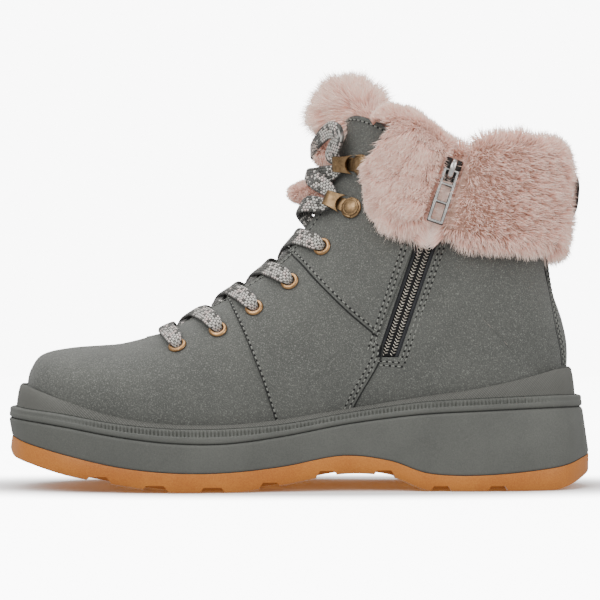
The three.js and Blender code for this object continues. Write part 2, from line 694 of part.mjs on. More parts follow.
// A place over the throat: the row of the fan, y across, and the height over the skin.
function overThroat(row, y, lift) {
  const f = fan(row);
  const middle = (f.medial + f.lateral) / 2;
  const wide = y < middle ? f.medial : f.lateral;
  const share = Math.min((y - middle) / (wide - middle), 1);
  const around = (Math.sign(y - middle) * Math.asin(share ** (f.round / 2))) / Math.PI;
  const facing = skinNormal(row, around);
  return { place: skinPoint(row, around).addScaledVector(facing, lift), facing };
}

// Laces. Each crossing is two strands that meet in the middle of the throat.
const laceGap = laceThickness / 2 + 2 * gap;
const tuckedLift = -0.95;
const edgeY = throatHalf + 0.6;
const tuckedY = throatHalf - 2.4;
const laceBulge = 1.1;
const holeOf = (side, i) => holes.find((h) => h.side === side && h.i === i);
const hookOf = (side, i) => hooks.find((h) => h.side === side && h.i === i);
const between3 = (a, b, share) => ({
  place: a.place.clone().lerp(b.place, share).addScaledVector(a.facing.clone().lerp(b.facing, share).normalize(),
    laceBulge * (1 - (2 * share - 1) ** 2)),
  facing: a.facing.clone().lerp(b.facing, share).normalize(),
});
function fromHole(hole) {
  const [row, around] = skinAt(hole.x, hole.z, hole.side);
  const y = skinPoint(row, around).y;
  const top = hole.rise + flangeHeight + laceThickness / 2 + 2 * gap;
  return {
    row,
    start: [overThroat(row, y, top), overThroat(row, y * 0.6 + hole.side * edgeY * 0.4, top),
      overThroat(row, hole.side * edgeY, hole.rise + laceGap)],
  };
}
const overThrough = (start, end) => [...start, ...[0.2, 0.4, 0.6, 0.8].map((t) => between3(start.at(-1), end, t)), end];
const toHole = (side, i) => {
  const low = fromHole(holeOf(side, i)).row;
  const high = i < 4 ? fromHole(holeOf(side, i + 1)).row : low + 1;
  return overThroat(low + 0.3 * (high - low), side * tuckedY, tuckedLift);
};
function lipOf(hook, up) {
  const reach = Math.hypot(hook.lip[0] - hook.rivet[0], hook.lip[1] - hook.rivet[1]);
  const place = V(reach + laceThickness, hook.side * up, hookStock + gap + hookGap / 2).applyMatrix4(hook.matrix);
  const facing = overThroat(skinAt(...hook.lip, hook.side)[0], hook.side * throatHalf, 0).facing;
  return { place, facing };
}
const narrowLace = laceWidth * 0.72;
const hookShift = narrowLace / 2 + 0.6;
const sides = [-1, 1];
const laceStrips = [
  [{
    path: [...fromHole(holeOf(-1, 0)).start, ...[0.2, 0.5, 0.8].map((t) => between3(
      fromHole(holeOf(-1, 0)).start[2],
      fromHole(holeOf(1, 0)).start[2],
      t,
    )), ...fromHole(holeOf(1, 0)).start.toReversed()],
    width: laceWidth,
  }],
  ...[1, 2, 3, 4].map((i) => sides.map((side) => ({
    path: overThrough(fromHole(holeOf(side, i)).start, toHole(-side, i - 1)),
    width: laceWidth,
  }))),
  sides.map((side) => ({
    path: overThrough([lipOf(hookOf(side, 0), -hookShift)], toHole(-side, 4)),
    width: narrowLace,
  })),
  sides.map((side) => ({
    path: overThrough([lipOf(hookOf(side, 1), -hookShift)], lipOf(hookOf(-side, 0), hookShift)),
    width: narrowLace,
  })),
];
const archTable = table(
  "x y z",
  [0.06, -0.225, 0.968], [0.045, -0.165, 0.985], [0.028, -0.085, 0.965], [0.0175, 0, 0.948],
  [0.028, 0.085, 0.965], [0.045, 0.165, 0.985], [0.06, 0.225, 0.968],
);
const archPath = archTable.map((a) => {
  const place = V(a.x * soleLength, a.y * ballWidth, a.z * upperHeight);
  return { place, facing: place.clone().sub(V(shaftX, 0, place.z)).normalize() };
});
const archShift = hookShift + 2;
laceStrips.push([{
  path: [lipOf(hookOf(-1, 1), archShift), ...archPath, lipOf(hookOf(1, 1), archShift)],
  width: narrowLace,
}]);
const laceSolid = (strands, extra) => strands
  .map(({ path, width }) => strip(path, width + 2 * extra, laceThickness + 2 * extra))
  .reduce((sum, part) => sum.add(part));
const laces = laceStrips.map((strands) => laceSolid(strands, 0));
const laceRoom = laceStrips.map((strands) => laceSolid(strands, gap + 0.1));

// The fur on the tongue: a roll round its top and the tuft that stands out between the laces.
const rollTable = table(
  "angle out up wide tall",
  [-29, -0.75, 1.0, 0.3, 0.3], [-26, -0.66, 1.02, 0.55, 0.6], [-19, -0.5, 1.04, 0.85, 0.95],
  [-10, -0.3, 1.05, 1.15, 1.08], [0, -0.2, 1.053, 1.27, 1.12], [10, -0.3, 1.05, 1.15, 1.08],
  [19, -0.5, 1.04, 0.85, 0.95], [26, -0.66, 1.02, 0.55, 0.6], [29, -0.75, 1.0, 0.3, 0.3],
);
const rollSpline = [beyond(rollTable[1], rollTable[0]), ...rollTable, beyond(rollTable.at(-2), rollTable.at(-1))];
const roll = loft(steps(0, 8, 16).map((place) => {
  const r = between(rollSpline, place);
  return steps(0, 11, 11).map((i) => {
    const turn = (i / 12) * 2 * Math.PI;
    const lock = lockDepth * r.wide * Math.sin(radians(r.angle * 17) + i * 2.3);
    const out = r.out * furPile + (r.wide * furPile + lock) * Math.cos(turn);
    const z = r.up * upperHeight + (r.tall * furPile + lock) * Math.sin(turn);
    return aroundShaft(r.angle, out, z);
  });
}));
const tongueRoom = shrink(wall).subtract(shrink(wall + 2 * gap + tongueThickness))
  .intersect(planPrism(throatPlan(throatHalf + tongueSide + gap, throatStart - tongueSide - gap, 46 + gap), 50, 300))
  .intersect(sidePrism([[-110, 40], [90, 40], [90, tongueTop + gap], [-110, tongueTop + gap]], -90, 90));
const tuftBall = new THREE.SphereGeometry(1, 12, 8);
tuftBall.scale(0.92 * furPile, 0.6 * furPile, 0.54 * furPile);
tuftBall.translate(0.0135 * soleLength, 0, 0.823 * upperHeight);
furLobe = furLobe.subtract(tongueRoom);
furCuff = furCuff.subtract(tongueRoom);
let tongueFur = roll.subtract(tongueRoom).subtract(clearOfUpper).subtract(laceRoom[7]);
const furTuft = laceRoom.slice(4).reduce((sum, room) => sum.subtract(room), solidOf(tuftBall).subtract(tongueRoom));

// Eyelets and hooks
const eyeletOf = (hole) => placed(new THREE.LatheGeometry([
  [eyeletHole, -1.9], [eyeletHole + barrelWall, -1.9], [eyeletHole + barrelWall, gap], [flangeRadius, gap],
  [(eyeletHole + flangeRadius) / 2, flangeHeight], [eyeletHole, flangeHeight - 0.4], [eyeletHole, -1.9],
].map(([r, h]) => new THREE.Vector2(r, h)), 10).rotateX(Math.PI / 2), hole.matrix);

function hookSolid(hook, extra) {
  const reach = Math.hypot(hook.lip[0] - hook.rivet[0], hook.lip[1] - hook.rivet[1]) + extra;
  const low = gap - extra;
  const top = gap + 2 * hookStock + hookGap + extra;
  const stock = hookStock + 2 * extra;
  const profile = [
    [-3.6, low], [reach - 2, low], [reach - 0.6, low + 0.6], [reach, (low + top) / 2], [reach - 0.6, top - 0.6],
    [reach - 2, top], [5.6 - extra, top], [5.6 - extra, top - stock], [reach - 2.2, top - stock],
    [reach - 1.3, (low + top) / 2], [reach - 2.2, low + stock], [-3.6, low + stock],
  ];
  const width = hookWidth + 2 * extra;
  const plate = extrude(profile, width);
  plate.rotateX(Math.PI / 2);
  plate.translate(0, width / 2, 0);
  const radius = rivetRadius + extra;
  const head = new THREE.LatheGeometry([
    [0, low], [radius, low], [radius, gap + rivetHeight * 0.6 + extra], [radius * 0.7, gap + rivetHeight + extra],
    [0, gap + rivetHeight + extra],
  ].map(([r, h]) => new THREE.Vector2(r, h)), 14);
  head.rotateX(Math.PI / 2);
  return placed(plate, hook.matrix).add(placed(head, hook.matrix));
}
for (const hook of hooks) {
  const room = hookSolid(hook, gap + 0.1);
  furLobe = furLobe.subtract(room);
  furCuff = furCuff.subtract(room);
  tongueFur = tongueFur.subtract(room);
}

// Zip: tape inside the wall, teeth in the slot, slider near the collar and its pull tab
const zipTape = shrink(wall + gap).subtract(shrink(wall + gap + tapeThickness))
  .intersect(zipPrism(tapeHalf, zipFootZ - 6, zipTop - 4));
const sliderZ = 0.876 * upperHeight;
const zipTeeth = shrink(0.5).subtract(shrink(wall)).intersect(zipPrism(zipTeethHalf, zipFootZ + 1, sliderZ - 2));
const slider = frameAt(zipX(sliderZ), sliderZ, -1, 0, [zipX(sliderZ + 15), sliderZ + 15]);
const sliderTop = 1.9;
const bailTop = 5.4;
const bailHole = 4.25;
const sliderPlate = extrude([[-5.5, -2.9], [1, -4.1], [5.5, -4.1], [5.5, 4.1], [1, 4.1], [-5.5, 2.9]], sliderTop + 0.1);
sliderPlate.translate(0, 0, -0.1);
const bail = extrude([
  [-3.8, sliderTop - 0.2], [-3.4, bailTop - 0.8], [-2.4, bailTop], [2.4, bailTop], [3.4, bailTop - 0.8],
  [3.8, sliderTop - 0.2], [2.7, sliderTop - 0.2], [2.4, bailHole - 0.3], [1.8, bailHole],
  [-1.8, bailHole], [-2.4, bailHole - 0.3], [-2.7, sliderTop - 0.2],
], 2.6);
bail.rotateX(Math.PI / 2);
bail.translate(0, 1.3, 0);
const zipSlider = placed(sliderPlate, slider).add(placed(bail, slider));
const pullLength = 26;
const pullHalf = 3.9;
const pullStock = 1.3;
const pullTilt = radians(12);
const pinHeight = (sliderTop + bailHole) / 2;
const pullFrame = new THREE.Shape([
  [-pullHalf, -0.65], [pullHalf, -0.65], [pullHalf, pullLength], [-pullHalf, pullLength],
].map(([a, b]) => new THREE.Vector2(a, b)));
const railHalf = pullHalf - 1.3;
for (const [low, high] of [[0.65, 6.4], [7.6, 15.2], [16.4, pullLength - 1.4]]) {
  pullFrame.holes.push(new THREE.Path([
    [-railHalf, low], [-railHalf, high], [railHalf, high], [railHalf, low],
  ].map(([a, b]) => new THREE.Vector2(a, b))));
}
const pullPlate = new THREE.ExtrudeGeometry(pullFrame, { depth: pullStock, bevelEnabled: false });
pullPlate.translate(0, 0, -pullStock / 2);
const hangs = new THREE.Matrix4().makeBasis(
  V(0, 1, 0),
  V(-Math.cos(pullTilt), 0, Math.sin(pullTilt)),
  V(Math.sin(pullTilt), 0, Math.cos(pullTilt)),
).setPosition(0, 0, pinHeight);
const zipPull = placed(pullPlate, slider.clone().multiply(hangs));

// Webbing loop at the back of the cuff
const loopTable = table(
  "z out",
  [0.69, 0.1], [0.72, 0.35], [0.765, 0.86], [0.81, 0.98], [0.86, 0.93], [0.9, 0.5], [0.925, 0.1],
);
const loopPath = loopTable.map((q) => ({
  place: aroundShaft(180, q.out * furPile, q.z * upperHeight),
  facing: V(1, 0, 0),
}));
const heelLoop = strip(loopPath, 20, 1.6);
furCuff = furCuff.subtract(strip(loopPath, 21, 2.4));
const inMillimetres = (solid) => {
  const mesh = solid.getMesh();
  const geometry = new THREE.BufferGeometry();
  const position = new Float32Array(mesh.numVert * 3);
  for (let i = 0; i < mesh.numVert; i++) {
    for (let k = 0; k < 3; k++) position[i * 3 + k] = mesh.vertProperties[i * mesh.numProp + k];
  }
  geometry.setAttribute("position", new THREE.BufferAttribute(position, 3));
  geometry.setIndex(new THREE.BufferAttribute(Uint32Array.from(mesh.triVerts), 1));
  geometry.computeVertexNormals();
  return geometry;
};

const finish = (color, roughness, metalness = 0) => new THREE.MeshStandardMaterial({ color, roughness, metalness });
const gumRubber = finish(0xc4844e, 0.6);
const greyRubber = finish(0x6e6f69, 0.75);
const nubuck = finish(0x6b6d68, 0.95);
const feltGrey = finish(0x57585a, 0.95);
const fur = finish(0xcdb3ab, 0.95);
const copper = finish(0xb98a5c, 0.3, 1);
const brass = finish(0x94793f, 0.4, 1);
const laceCord = finish(0x6a6866, 0.95);
const tapeCloth = finish(0x2b2c2f, 0.9);
const coil = finish(0x3c3c3c, 0.5);
const nickel = finish(0xc8c8c6, 0.2, 1);
const boot = new THREE.Group();
const put = (name, solid, material) => {
  const mesh = new THREE.Mesh(inMillimetres(solid), material);
  mesh.name = name;
  boot.add(mesh);
  return mesh;
};
put("outsole", outsole, gumRubber);
put("midsole", midsole, greyRubber);
put("welt", welt, greyRubber);
put("rand", rand, greyRubber);
put("insole", insole, feltGrey);
put("upper", upper, nubuck);
put("tongue", tongue, nubuck);
put("tongue_fur", tongueFur, fur);
put("fur_tuft", furTuft, fur);
put("fur_lobe", furLobe, fur);
put("fur_cuff", furCuff, fur);
const sideName = (side) => (side < 0 ? "medial" : "lateral");
for (const hole of holes) put(`eyelet_${sideName(hole.side)}_${hole.i + 1}`, eyeletOf(hole), copper);
for (const hook of hooks) put(`hook_${sideName(hook.side)}_${hook.i + 1}`, hookSolid(hook, 0), brass);
laces.forEach((lace, i) => put(`lace_${i + 1}`, lace, laceCord));
put("zip_tape", zipTape, tapeCloth);
put("zip_teeth", zipTeeth, coil);
put("zip_slider", zipSlider, nickel);
put("zip_pull", zipPull, nickel);
put("heel_loop", heelLoop, tapeCloth);

export default boot;
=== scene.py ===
# A right snow boot with a fur cuff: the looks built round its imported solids.
# Shapes are worked out in millimetres and written to the meshes in metres.
import math

import bpy
import bmesh
import numpy as np
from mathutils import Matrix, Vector

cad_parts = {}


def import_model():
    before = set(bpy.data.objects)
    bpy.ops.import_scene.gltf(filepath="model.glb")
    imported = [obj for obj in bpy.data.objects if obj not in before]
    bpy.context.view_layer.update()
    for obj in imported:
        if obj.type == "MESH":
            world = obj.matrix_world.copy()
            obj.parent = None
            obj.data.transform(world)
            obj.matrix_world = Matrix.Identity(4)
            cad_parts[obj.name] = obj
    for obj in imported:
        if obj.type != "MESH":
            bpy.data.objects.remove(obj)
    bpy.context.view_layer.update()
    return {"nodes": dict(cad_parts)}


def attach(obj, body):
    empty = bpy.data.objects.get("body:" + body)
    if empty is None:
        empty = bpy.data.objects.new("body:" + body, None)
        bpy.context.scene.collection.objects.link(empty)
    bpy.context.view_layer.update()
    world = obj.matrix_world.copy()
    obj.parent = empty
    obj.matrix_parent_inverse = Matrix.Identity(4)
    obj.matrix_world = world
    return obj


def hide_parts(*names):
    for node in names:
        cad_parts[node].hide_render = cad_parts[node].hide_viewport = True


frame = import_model()
scene = bpy.context.scene
BODY = "boot"
PULL = "pull_tab"

# Named sizes in millimetres, as in the solids; the panels stand a little prouder
sole_length = 276
ball_width = 103.6
stack_height = 44
upper_height = 170
wall = 2.4
gap = 0.3
welt_inset = 8.6
heel_flare = 3.3
toe_tuck = 1.1
tread_depth = 2.8
tread_pitch = 26.4
first_notch = 45
notch_count = 8
notch_mouth = 9.6
notch_reach = 19
rand_foot = 3.3
fur_pile = 12
middle_rise = 0.9
shaft_rise = 1.8
throat_half = 13
throat_start = -71.5
throat_depth = 34
tongue_thickness = 4
tongue_side = 8
zip_foot = (40.7, 62.2)
zip_lean = 0.34
zip_slot_half = 4.9
shaft_x = 0.2536 * sole_length


def spline(rows, place):
    """Values between the rows of a table, on a smooth curve through all of them."""
    rows = np.asarray(rows, float)
    place = np.clip(np.asarray(place, float), 0, len(rows) - 3)
    i = np.minimum(place.astype(int), len(rows) - 4)
    f = (place - i)[..., None]
    a, b, c, d = rows[i], rows[i + 1], rows[i + 2], rows[i + 3]
    return 0.5 * (2 * b + (c - a) * f + (2 * a - 5 * b + 4 * c - d) * f**2 + (3 * b - a - 3 * c + d) * f**3)


def smooth(x, low, high):
    t = np.clip((x - low) / (high - low), 0, 1)
    return t * t * (3 - 2 * t)


def open_ends(rows):
    """The rows with one more at each end, so that a spline reaches the outer ones."""
    return np.vstack([2 * rows[0] - rows[1], rows, 2 * rows[-1] - rows[-2]])


def halve(low, high, rounds, is_low):
    """Where a test turns false as its value grows, found by halving the range."""
    for _ in range(rounds):
        middle = (low + high) / 2
        up = is_low(middle)
        low, high = np.where(up, middle, low), np.where(up, high, middle)
    return low


# Sole stations: along, medial, lateral, under, gum, parting, welt, rand
sole_table = np.array([
    [0.0, -0.068, -0.068, 0.345, 0.559, 0.764, 0.877, 1.12],
    [0.012, -0.227, 0.092, 0.336, 0.545, 0.759, 0.875, 1.109],
    [0.04, -0.347, 0.208, 0.291, 0.495, 0.741, 0.859, 1.068],
    [0.105, -0.447, 0.362, 0.182, 0.393, 0.686, 0.814, 0.945],
    [0.195, -0.488, 0.454, 0.08, 0.27, 0.586, 0.718, 0.795],
    [0.285, -0.498, 0.492, 0.005, 0.209, 0.52, 0.668, 0.723],
    [0.375, -0.471, 0.502, -0.014, 0.207, 0.511, 0.664, 0.705],
    [0.47, -0.42, 0.483, 0.066, 0.266, 0.584, 0.707, 0.757],
    [0.57, -0.386, 0.449, 0.182, 0.377, 0.702, 0.814, 0.859],
    [0.65, -0.377, 0.426, 0.155, 0.325, 0.773, 0.893, 0.939],
    [0.72, -0.378, 0.408, 0.0, 0.186, 0.818, 0.945, 1.007],
    [0.82, -0.382, 0.392, -0.01, 0.173, 0.85, 0.98, 1.1],
    [0.935, -0.316, 0.325, -0.01, 0.245, 0.875, 1.005, 1.255],
    [0.985, -0.164, 0.174, 0.036, 0.332, 0.873, 0.998, 1.289],
    [1.0, 0.005, 0.005, 0.055, 0.364, 0.868, 0.993, 1.295],
])
heel_row = len(sole_table) - 1
other_side = [0, 2, 1, 3, 4, 5, 6, 7]
sole_rows = np.vstack([sole_table[1][other_side], sole_table, sole_table[-2][other_side]])


class Station:
    """The sole at a table row: its edges and heights in millimetres."""

    def __init__(self, row):
        v = spline(sole_rows, row)
        self.x = (v[..., 0] - 0.5) * sole_length
        self.medial = v[..., 1] * ball_width
        self.lateral = v[..., 2] * ball_width
        self.under = np.maximum(0, v[..., 3] * stack_height)
        self.gum = v[..., 4] * stack_height
        self.parting = v[..., 5] * stack_height
        self.welt = v[..., 6] * stack_height
        self.rand = v[..., 7] * stack_height
        self.top_inset = heel_flare * smooth(v[..., 0], 0.72, 1)
        self.gum_inset = toe_tuck * (1 - smooth(v[..., 0], 0, 0.25))


def row_at(turn):
    return 2 * heel_row * np.where(turn <= 0.5, turn, 1 - turn)


def on_outline(turn):
    t = np.mod(turn, 1)
    s = Station(row_at(t))
    return np.stack([s.x, np.where(t <= 0.5, s.medial, s.lateral)], -1)


def rim(turn, inset, z):
    turn = np.asarray(turn, float)
    here, a, b = on_outline(turn), on_outline(turn - 0.002), on_outline(turn + 0.002)
    d = (b - a) / np.linalg.norm(b - a, axis=-1, keepdims=True)
    return np.stack([here[..., 0] - d[..., 1] * inset, here[..., 1] + d[..., 0] * inset, z + 0 * inset], -1)


# Fan of the upper: ridge_x, ridge_z, foot_x, foot_z, medial, lateral, widest, round, tuck
fan_table = np.array([
    [-0.4692, 0.294, 0, 0, -0.067, -0.067, 0.5, 2.2, 2.6],
    [-0.4623, 0.332, 0, 0, -0.207, 0.073, 0.62, 2.2, 2.6],
    [-0.442, 0.372, 0, 0, -0.303, 0.172, 0.62, 2.25, 2.6],
    [-0.3913, 0.39, 0, 0, -0.397, 0.32, 0.62, 2.25, 2.6],
    [-0.3043, 0.402, 0, 0, -0.444, 0.412, 0.64, 2.2, 2.6],
    [-0.2264, 0.442, 0, 0, -0.457, 0.443, 0.66, 2.1, 2.6],
    [-0.156, 0.514, 0, 0, -0.428, 0.446, 0.68, 2.05, 2.6],
    [-0.09, 0.584, 0, 0, -0.372, 0.422, 0.68, 2.05, 2.6],
    [-0.0337, 0.658, 0, 0, -0.348, 0.388, 0.66, 2.05, 2.6],
    [-0.0018, 0.717, 0, 0, -0.34, 0.365, 0.64, 2.1, 2.6],
    [0.0178, 0.764, 0, 0, -0.336, 0.35, 0.62, 2.15, 2.6],
    [0.0351, 0.814, 0, 0, -0.333, 0.341, 0.6, 2.2, 2.0],
    [0.0482, 0.861, 0, 0, -0.331, 0.336, 0.56, 2.25, 1.5],
    [0.0538, 0.884, 0, 0, -0.33, 0.334, 0.52, 2.3, 1.8],
    [0.0572, 0.902, 0, 0, -0.33, 0.333, 0.5, 2.3, 2.1],
    [0.0598, 0.919, 0.4625, 0.375, -0.331, 0.333, 0.48, 2.3, 2.2],
    [0.062, 0.936, 0.4545, 0.459, -0.334, 0.335, 0.47, 2.3, 2.25],
    [0.0638, 0.953, 0.4365, 0.547, -0.337, 0.338, 0.46, 2.3, 2.3],
    [0.0654, 0.971, 0.431, 0.626, -0.342, 0.342, 0.46, 2.3, 2.3],
    [0.067, 0.995, 0.434, 0.741, -0.348, 0.348, 0.46, 2.3, 2.3],
    [0.0685, 1.03, 0.4377, 0.865, -0.355, 0.355, 0.46, 2.3, 2.3],
    [0.07, 1.07, 0.441, 0.985, -0.36, 0.36, 0.46, 2.3, 2.3],
    [0.072, 1.14, 0.444, 1.1, -0.362, 0.362, 0.46, 2.3, 2.3],
])
last_fan = len(fan_table) - 1


def fan_spline():
    rows = []
    for i, r in enumerate(fan_table):
        shape = [r[0] * sole_length, r[1] * upper_height]
        widths = [r[4] * ball_width, r[5] * ball_width, r[6], r[7], r[8]]
        if i > heel_row:
            rows.append(shape + [r[2] * sole_length, r[3] * upper_height] + widths + [0, 0])
            continue
        s = Station(i)
        turn = i / (2 * heel_row)
        near = rim(turn, welt_inset + s.top_inset, 0)
        far = rim(1 - turn, welt_inset + s.top_inset, 0)
        foot = [(near[0] + far[0]) / 2, s.parting + 5 * gap]
        rows.append(shape + foot + widths + [near[1], far[1]])
    rows = np.array(rows)
    turned = rows[1][[0, 1, 2, 3, 5, 4, 6, 7, 8, 10, 9]]
    return np.vstack([turned, rows, 2 * rows[-1] - rows[-2]])


fan_rows = fan_spline()


def skin_point(row, around):
    """A point of the skin: around runs from -1 at the medial foot over 0 at the ridge to 1."""
    row, around = np.broadcast_arrays(np.asarray(row, float), np.asarray(around, float))
    f = spline(fan_rows, row)
    rx, rz, fx, fz, med, lat, widest, rnd, tuck, foot_m, foot_l = np.moveaxis(f, -1, 0)
    side = np.abs(around)
    middle = (med + lat) / 2
    wide = np.where(around < 0, med, lat)
    foot = np.where(around < 0, foot_m, foot_l)
    a = np.clip(side, 0, 0.5) * math.pi
    up_share = widest * (1 - np.maximum(np.cos(a), 0) ** (2 / rnd))
    up_y = middle + (wide - middle) * np.maximum(np.sin(a), 0) ** (2 / rnd)
    b = (np.clip(side, 0.5, 1) - 0.5) * math.pi
    down = np.maximum(np.sin(b), 0) ** (2 / tuck)
    curved = np.maximum(np.cos(b), 0) ** (2 / tuck)
    straight = 1 - down**2.2
    heel = smooth(row, heel_row - 3.5, heel_row - 1)
    low_share = widest + (1 - widest) * down
    low_y = foot + (wide - foot) * (straight + (curved - straight) * heel)
    share = np.where(side <= 0.5, up_share, low_share)
    y = np.where(side <= 0.5, up_y, low_y)
    return np.stack([rx + (fx - rx) * share, y, rz + (fz - rz) * share], -1)


def unit(v):
    return v / np.maximum(np.linalg.norm(v, axis=-1, keepdims=True), 1e-9)


def skin_normal(row, around):
    a = np.clip(around, -0.985, 0.985)
    r = np.clip(row, 0.04, last_fan - 0.02)
    along = skin_point(r + 0.02, a) - skin_point(r - 0.02, a)
    across = skin_point(r, a + 0.01) - skin_point(r, a - 0.01)
    return unit(np.cross(along, across))


def foot_normal(row, side):
    r = np.clip(row, 0.04, heel_row - 0.02)
    along = skin_point(r + 0.02, side) - skin_point(r - 0.02, side)
    return unit(np.stack([along[..., 1], -along[..., 0], 0 * along[..., 0]],
                         -1) * -np.asarray(side)[..., None])


def skin_at(x, z, side):
    """Row and turn where a place seen from the side lies on the skin."""
    x, z = np.broadcast_arrays(np.asarray(x, float), np.asarray(z, float))

    def before(row):
        f = spline(fan_rows, row)
        return (f[..., 2] - f[..., 0]) * (z - f[..., 1]) >= (f[..., 3] - f[..., 1]) * (x - f[..., 0])

    row = halve(np.zeros(x.shape), np.full(x.shape, float(last_fan)), 34, before)
    f = spline(fan_rows, row)
    rx, rz, fx, fz, _, _, widest, rnd, tuck, _, _ = np.moveaxis(f, -1, 0)
    s = np.clip(np.hypot(x - rx, z - rz) / np.hypot(fx - rx, fz - rz), 0, 1)
    upper = np.arccos(np.clip(1 - s / widest, 0, 1) ** (rnd / 2)) / math.pi
    lower = 0.5 + np.arcsin(np.clip((s - widest) / (1 - widest), 0, 1) ** (tuck / 2)) / math.pi
    return row, side * np.where(s <= widest, upper, lower)


def on_skin(x, z, side, lift=0.0):
    """Places and outward directions over the skin."""
    row, around = skin_at(x, z, side)
    n = skin_normal(row, around)
    return skin_point(row, around) + n * np.asarray(lift)[..., None], n


def over_throat(row, y, lift):
    f = spline(fan_rows, row)
    middle = (f[4] + f[5]) / 2
    wide = f[4] if y < middle else f[5]
    share = min((y - middle) / (wide - middle), 1)
    around = math.copysign(math.asin(share ** (f[7] / 2)) / math.pi, y - middle)
    n = skin_normal(row, around)
    return skin_point(row, around) + n * lift, n


# Meshes
def mesh_object(name, points, faces, uv=None):
    mesh = bpy.data.meshes.new(name)
    mesh.from_pydata((np.asarray(points, float).reshape(-1, 3) * 0.001).tolist(), [], faces)
    mesh.validate()
    obj = bpy.data.objects.new(name, mesh)
    scene.collection.objects.link(obj)
    if uv is not None:
        layer = mesh.uv_layers.new(name="UVMap")
        index = np.zeros(len(mesh.loops), int)
        mesh.loops.foreach_get("vertex_index", index)
        layer.data.foreach_set("uv", np.asarray(uv, float)[index].ravel())
    return obj


def weld(obj, distance=2e-6):
    """Joins doubled points and turns the faces outward."""
    bm = bmesh.new()
    bm.from_mesh(obj.data)
    if distance:
        bmesh.ops.remove_doubles(bm, verts=bm.verts, dist=distance)
        bmesh.ops.dissolve_degenerate(bm, edges=bm.edges, dist=1e-7)
    bmesh.ops.recalc_face_normals(bm, faces=bm.faces)
    bm.to_mesh(obj.data)
    bm.free()
    return obj


def grid_faces(rows, cols, close_rows=False, close_cols=False):
    out = []
    for i in range(rows if close_rows else rows - 1):
        for j in range(cols if close_cols else cols - 1):
            a, b = i * cols + j, i * cols + (j + 1) % cols
            k = (i + 1) % rows
            out.append((a, k * cols + j, k * cols + (j + 1) % cols, b))
    return out


def tube(name, rings, distance=2e-6, uv=None):
    """A closed skin through rings of points."""
    n, m = np.shape(rings)[:2]
    ends = [tuple(range(m)), tuple(range(n * m - 1, n * m - 1 - m, -1))]
    return weld(mesh_object(name, rings, grid_faces(n, m, close_cols=True) + ends, uv), distance)


def soften(obj, degrees=35):
    obj.data.polygons.foreach_set("use_smooth", [True] * len(obj.data.polygons))
    obj.data.set_sharp_from_angle(angle=math.radians(degrees))
    return obj


def settled(obj):
    """The object with its modifiers worked into its mesh."""
    graph = bpy.context.evaluated_depsgraph_get()
    made = bpy.data.meshes.new_from_object(obj.evaluated_get(graph), preserve_all_data_layers=True,
                                           depsgraph=graph)
    obj.modifiers.clear()
    old = obj.data
    obj.data = made
    made.name = obj.name
    bpy.data.meshes.remove(old)
    return obj


def combine(obj, other, operation="DIFFERENCE"):
    bpy.context.view_layer.update()
    mod = obj.modifiers.new("cut", "BOOLEAN")
    mod.operation = operation
    mod.object = other
    mod.solver = "MANIFOLD"
    settled(obj)
    bpy.data.objects.remove(other)
    return obj


def put_at(points, place, axes):
    """Points of a frame of its own, in the boot's frame."""
    return place + np.asarray(points, float) @ axes


def prism(name, outline, low, high, axis="y", place=0.0, axes=np.eye(3)):
    """An outline pushed along y or z of a frame."""
    n = len(outline)
    points = [(a, level, b) if axis == "y" else (a, b, level) for level in (low, high) for a, b in outline]
    faces = [tuple(range(n)), tuple(range(2 * n - 1, n - 1, -1))]
    faces += [(i, (i + 1) % n, n + (i + 1) % n, n + i) for i in range(n)]
    return weld(mesh_object(name, put_at(points, place, axes), faces))


def form(name, offset, drop=0.0, rows=150, turns=121, shape=None):
    """The skin moved out by offset as a closed solid; shape adds a height of its own at each point."""
    r = np.concatenate([np.linspace(0, 3, rows // 5, endpoint=False),
                        np.linspace(3, last_fan, rows - rows // 5)])
    row, around = np.meshgrid(r, np.linspace(-1, 1, turns), indexing="ij")
    closing = (row == 0) | ((row >= heel_row) & (np.abs(around) == 1))
    around = np.where(closing, -np.abs(around), around)
    low = (row <= heel_row) & (np.abs(around) == 1)
    foot = low & (row > 0) & (row < heel_row)
    normal = np.where(foot[..., None], foot_normal(row, np.sign(around)), skin_normal(row, around))
    base = skin_point(row, around)
    lift = offset + (shape(base) if shape else 0)
    p = base + normal * np.broadcast_to(lift, row.shape)[..., None]
    p[..., 2] = np.where(low, spline(fan_rows, row)[..., 3] - drop, p[..., 2])
    p[..., 1] = np.where(closing, np.where(row == 0, spline(fan_rows, 0)[5], 0), p[..., 1])
    faces = grid_faces(len(r), turns, close_cols=True)
    top = (len(r) - 1) * turns
    for i in range(turns // 2):
        j = turns - 1 - i
        faces.append((top + i, top + j, top + j - 1, top + i + 1)[:4 if j - 1 > i + 1 else 3])
    return weld(mesh_object(name, p, faces))


def side_view(rows):
    return [(x * sole_length, z * upper_height) for x, z in rows]


middle_panel = side_view([
    (-0.134, 0.58), (-0.1254, 0.5335), (-0.116, 0.508), (-0.0942, 0.435), (-0.0768, 0.366), (-0.0616, 0.302),
    (-0.029, 0.14), (0.076, 0.14), (0.089, 0.227), (0.1293, 0.344), (0.1377, 0.388), (0.2029, 0.694),
    (0.261, 1.25), (-0.1, 1.25),
])
shaft_panel = side_view([
    (-0.03, 0.69), (-0.0217, 0.665), (0.0055, 0.62), (0.0326, 0.57), (0.08, 0.494), (0.131, 0.424),
    (0.2029, 0.72), (0.268, 1.25), (-0.1, 1.25),
])
collar_line = side_view([
    (0.069, 1.005), (0.082, 1.026), (0.1, 1.03), (0.136, 1.005), (0.18, 0.955), (0.23, 0.915), (0.3, 0.9),
    (0.46, 0.905),
])


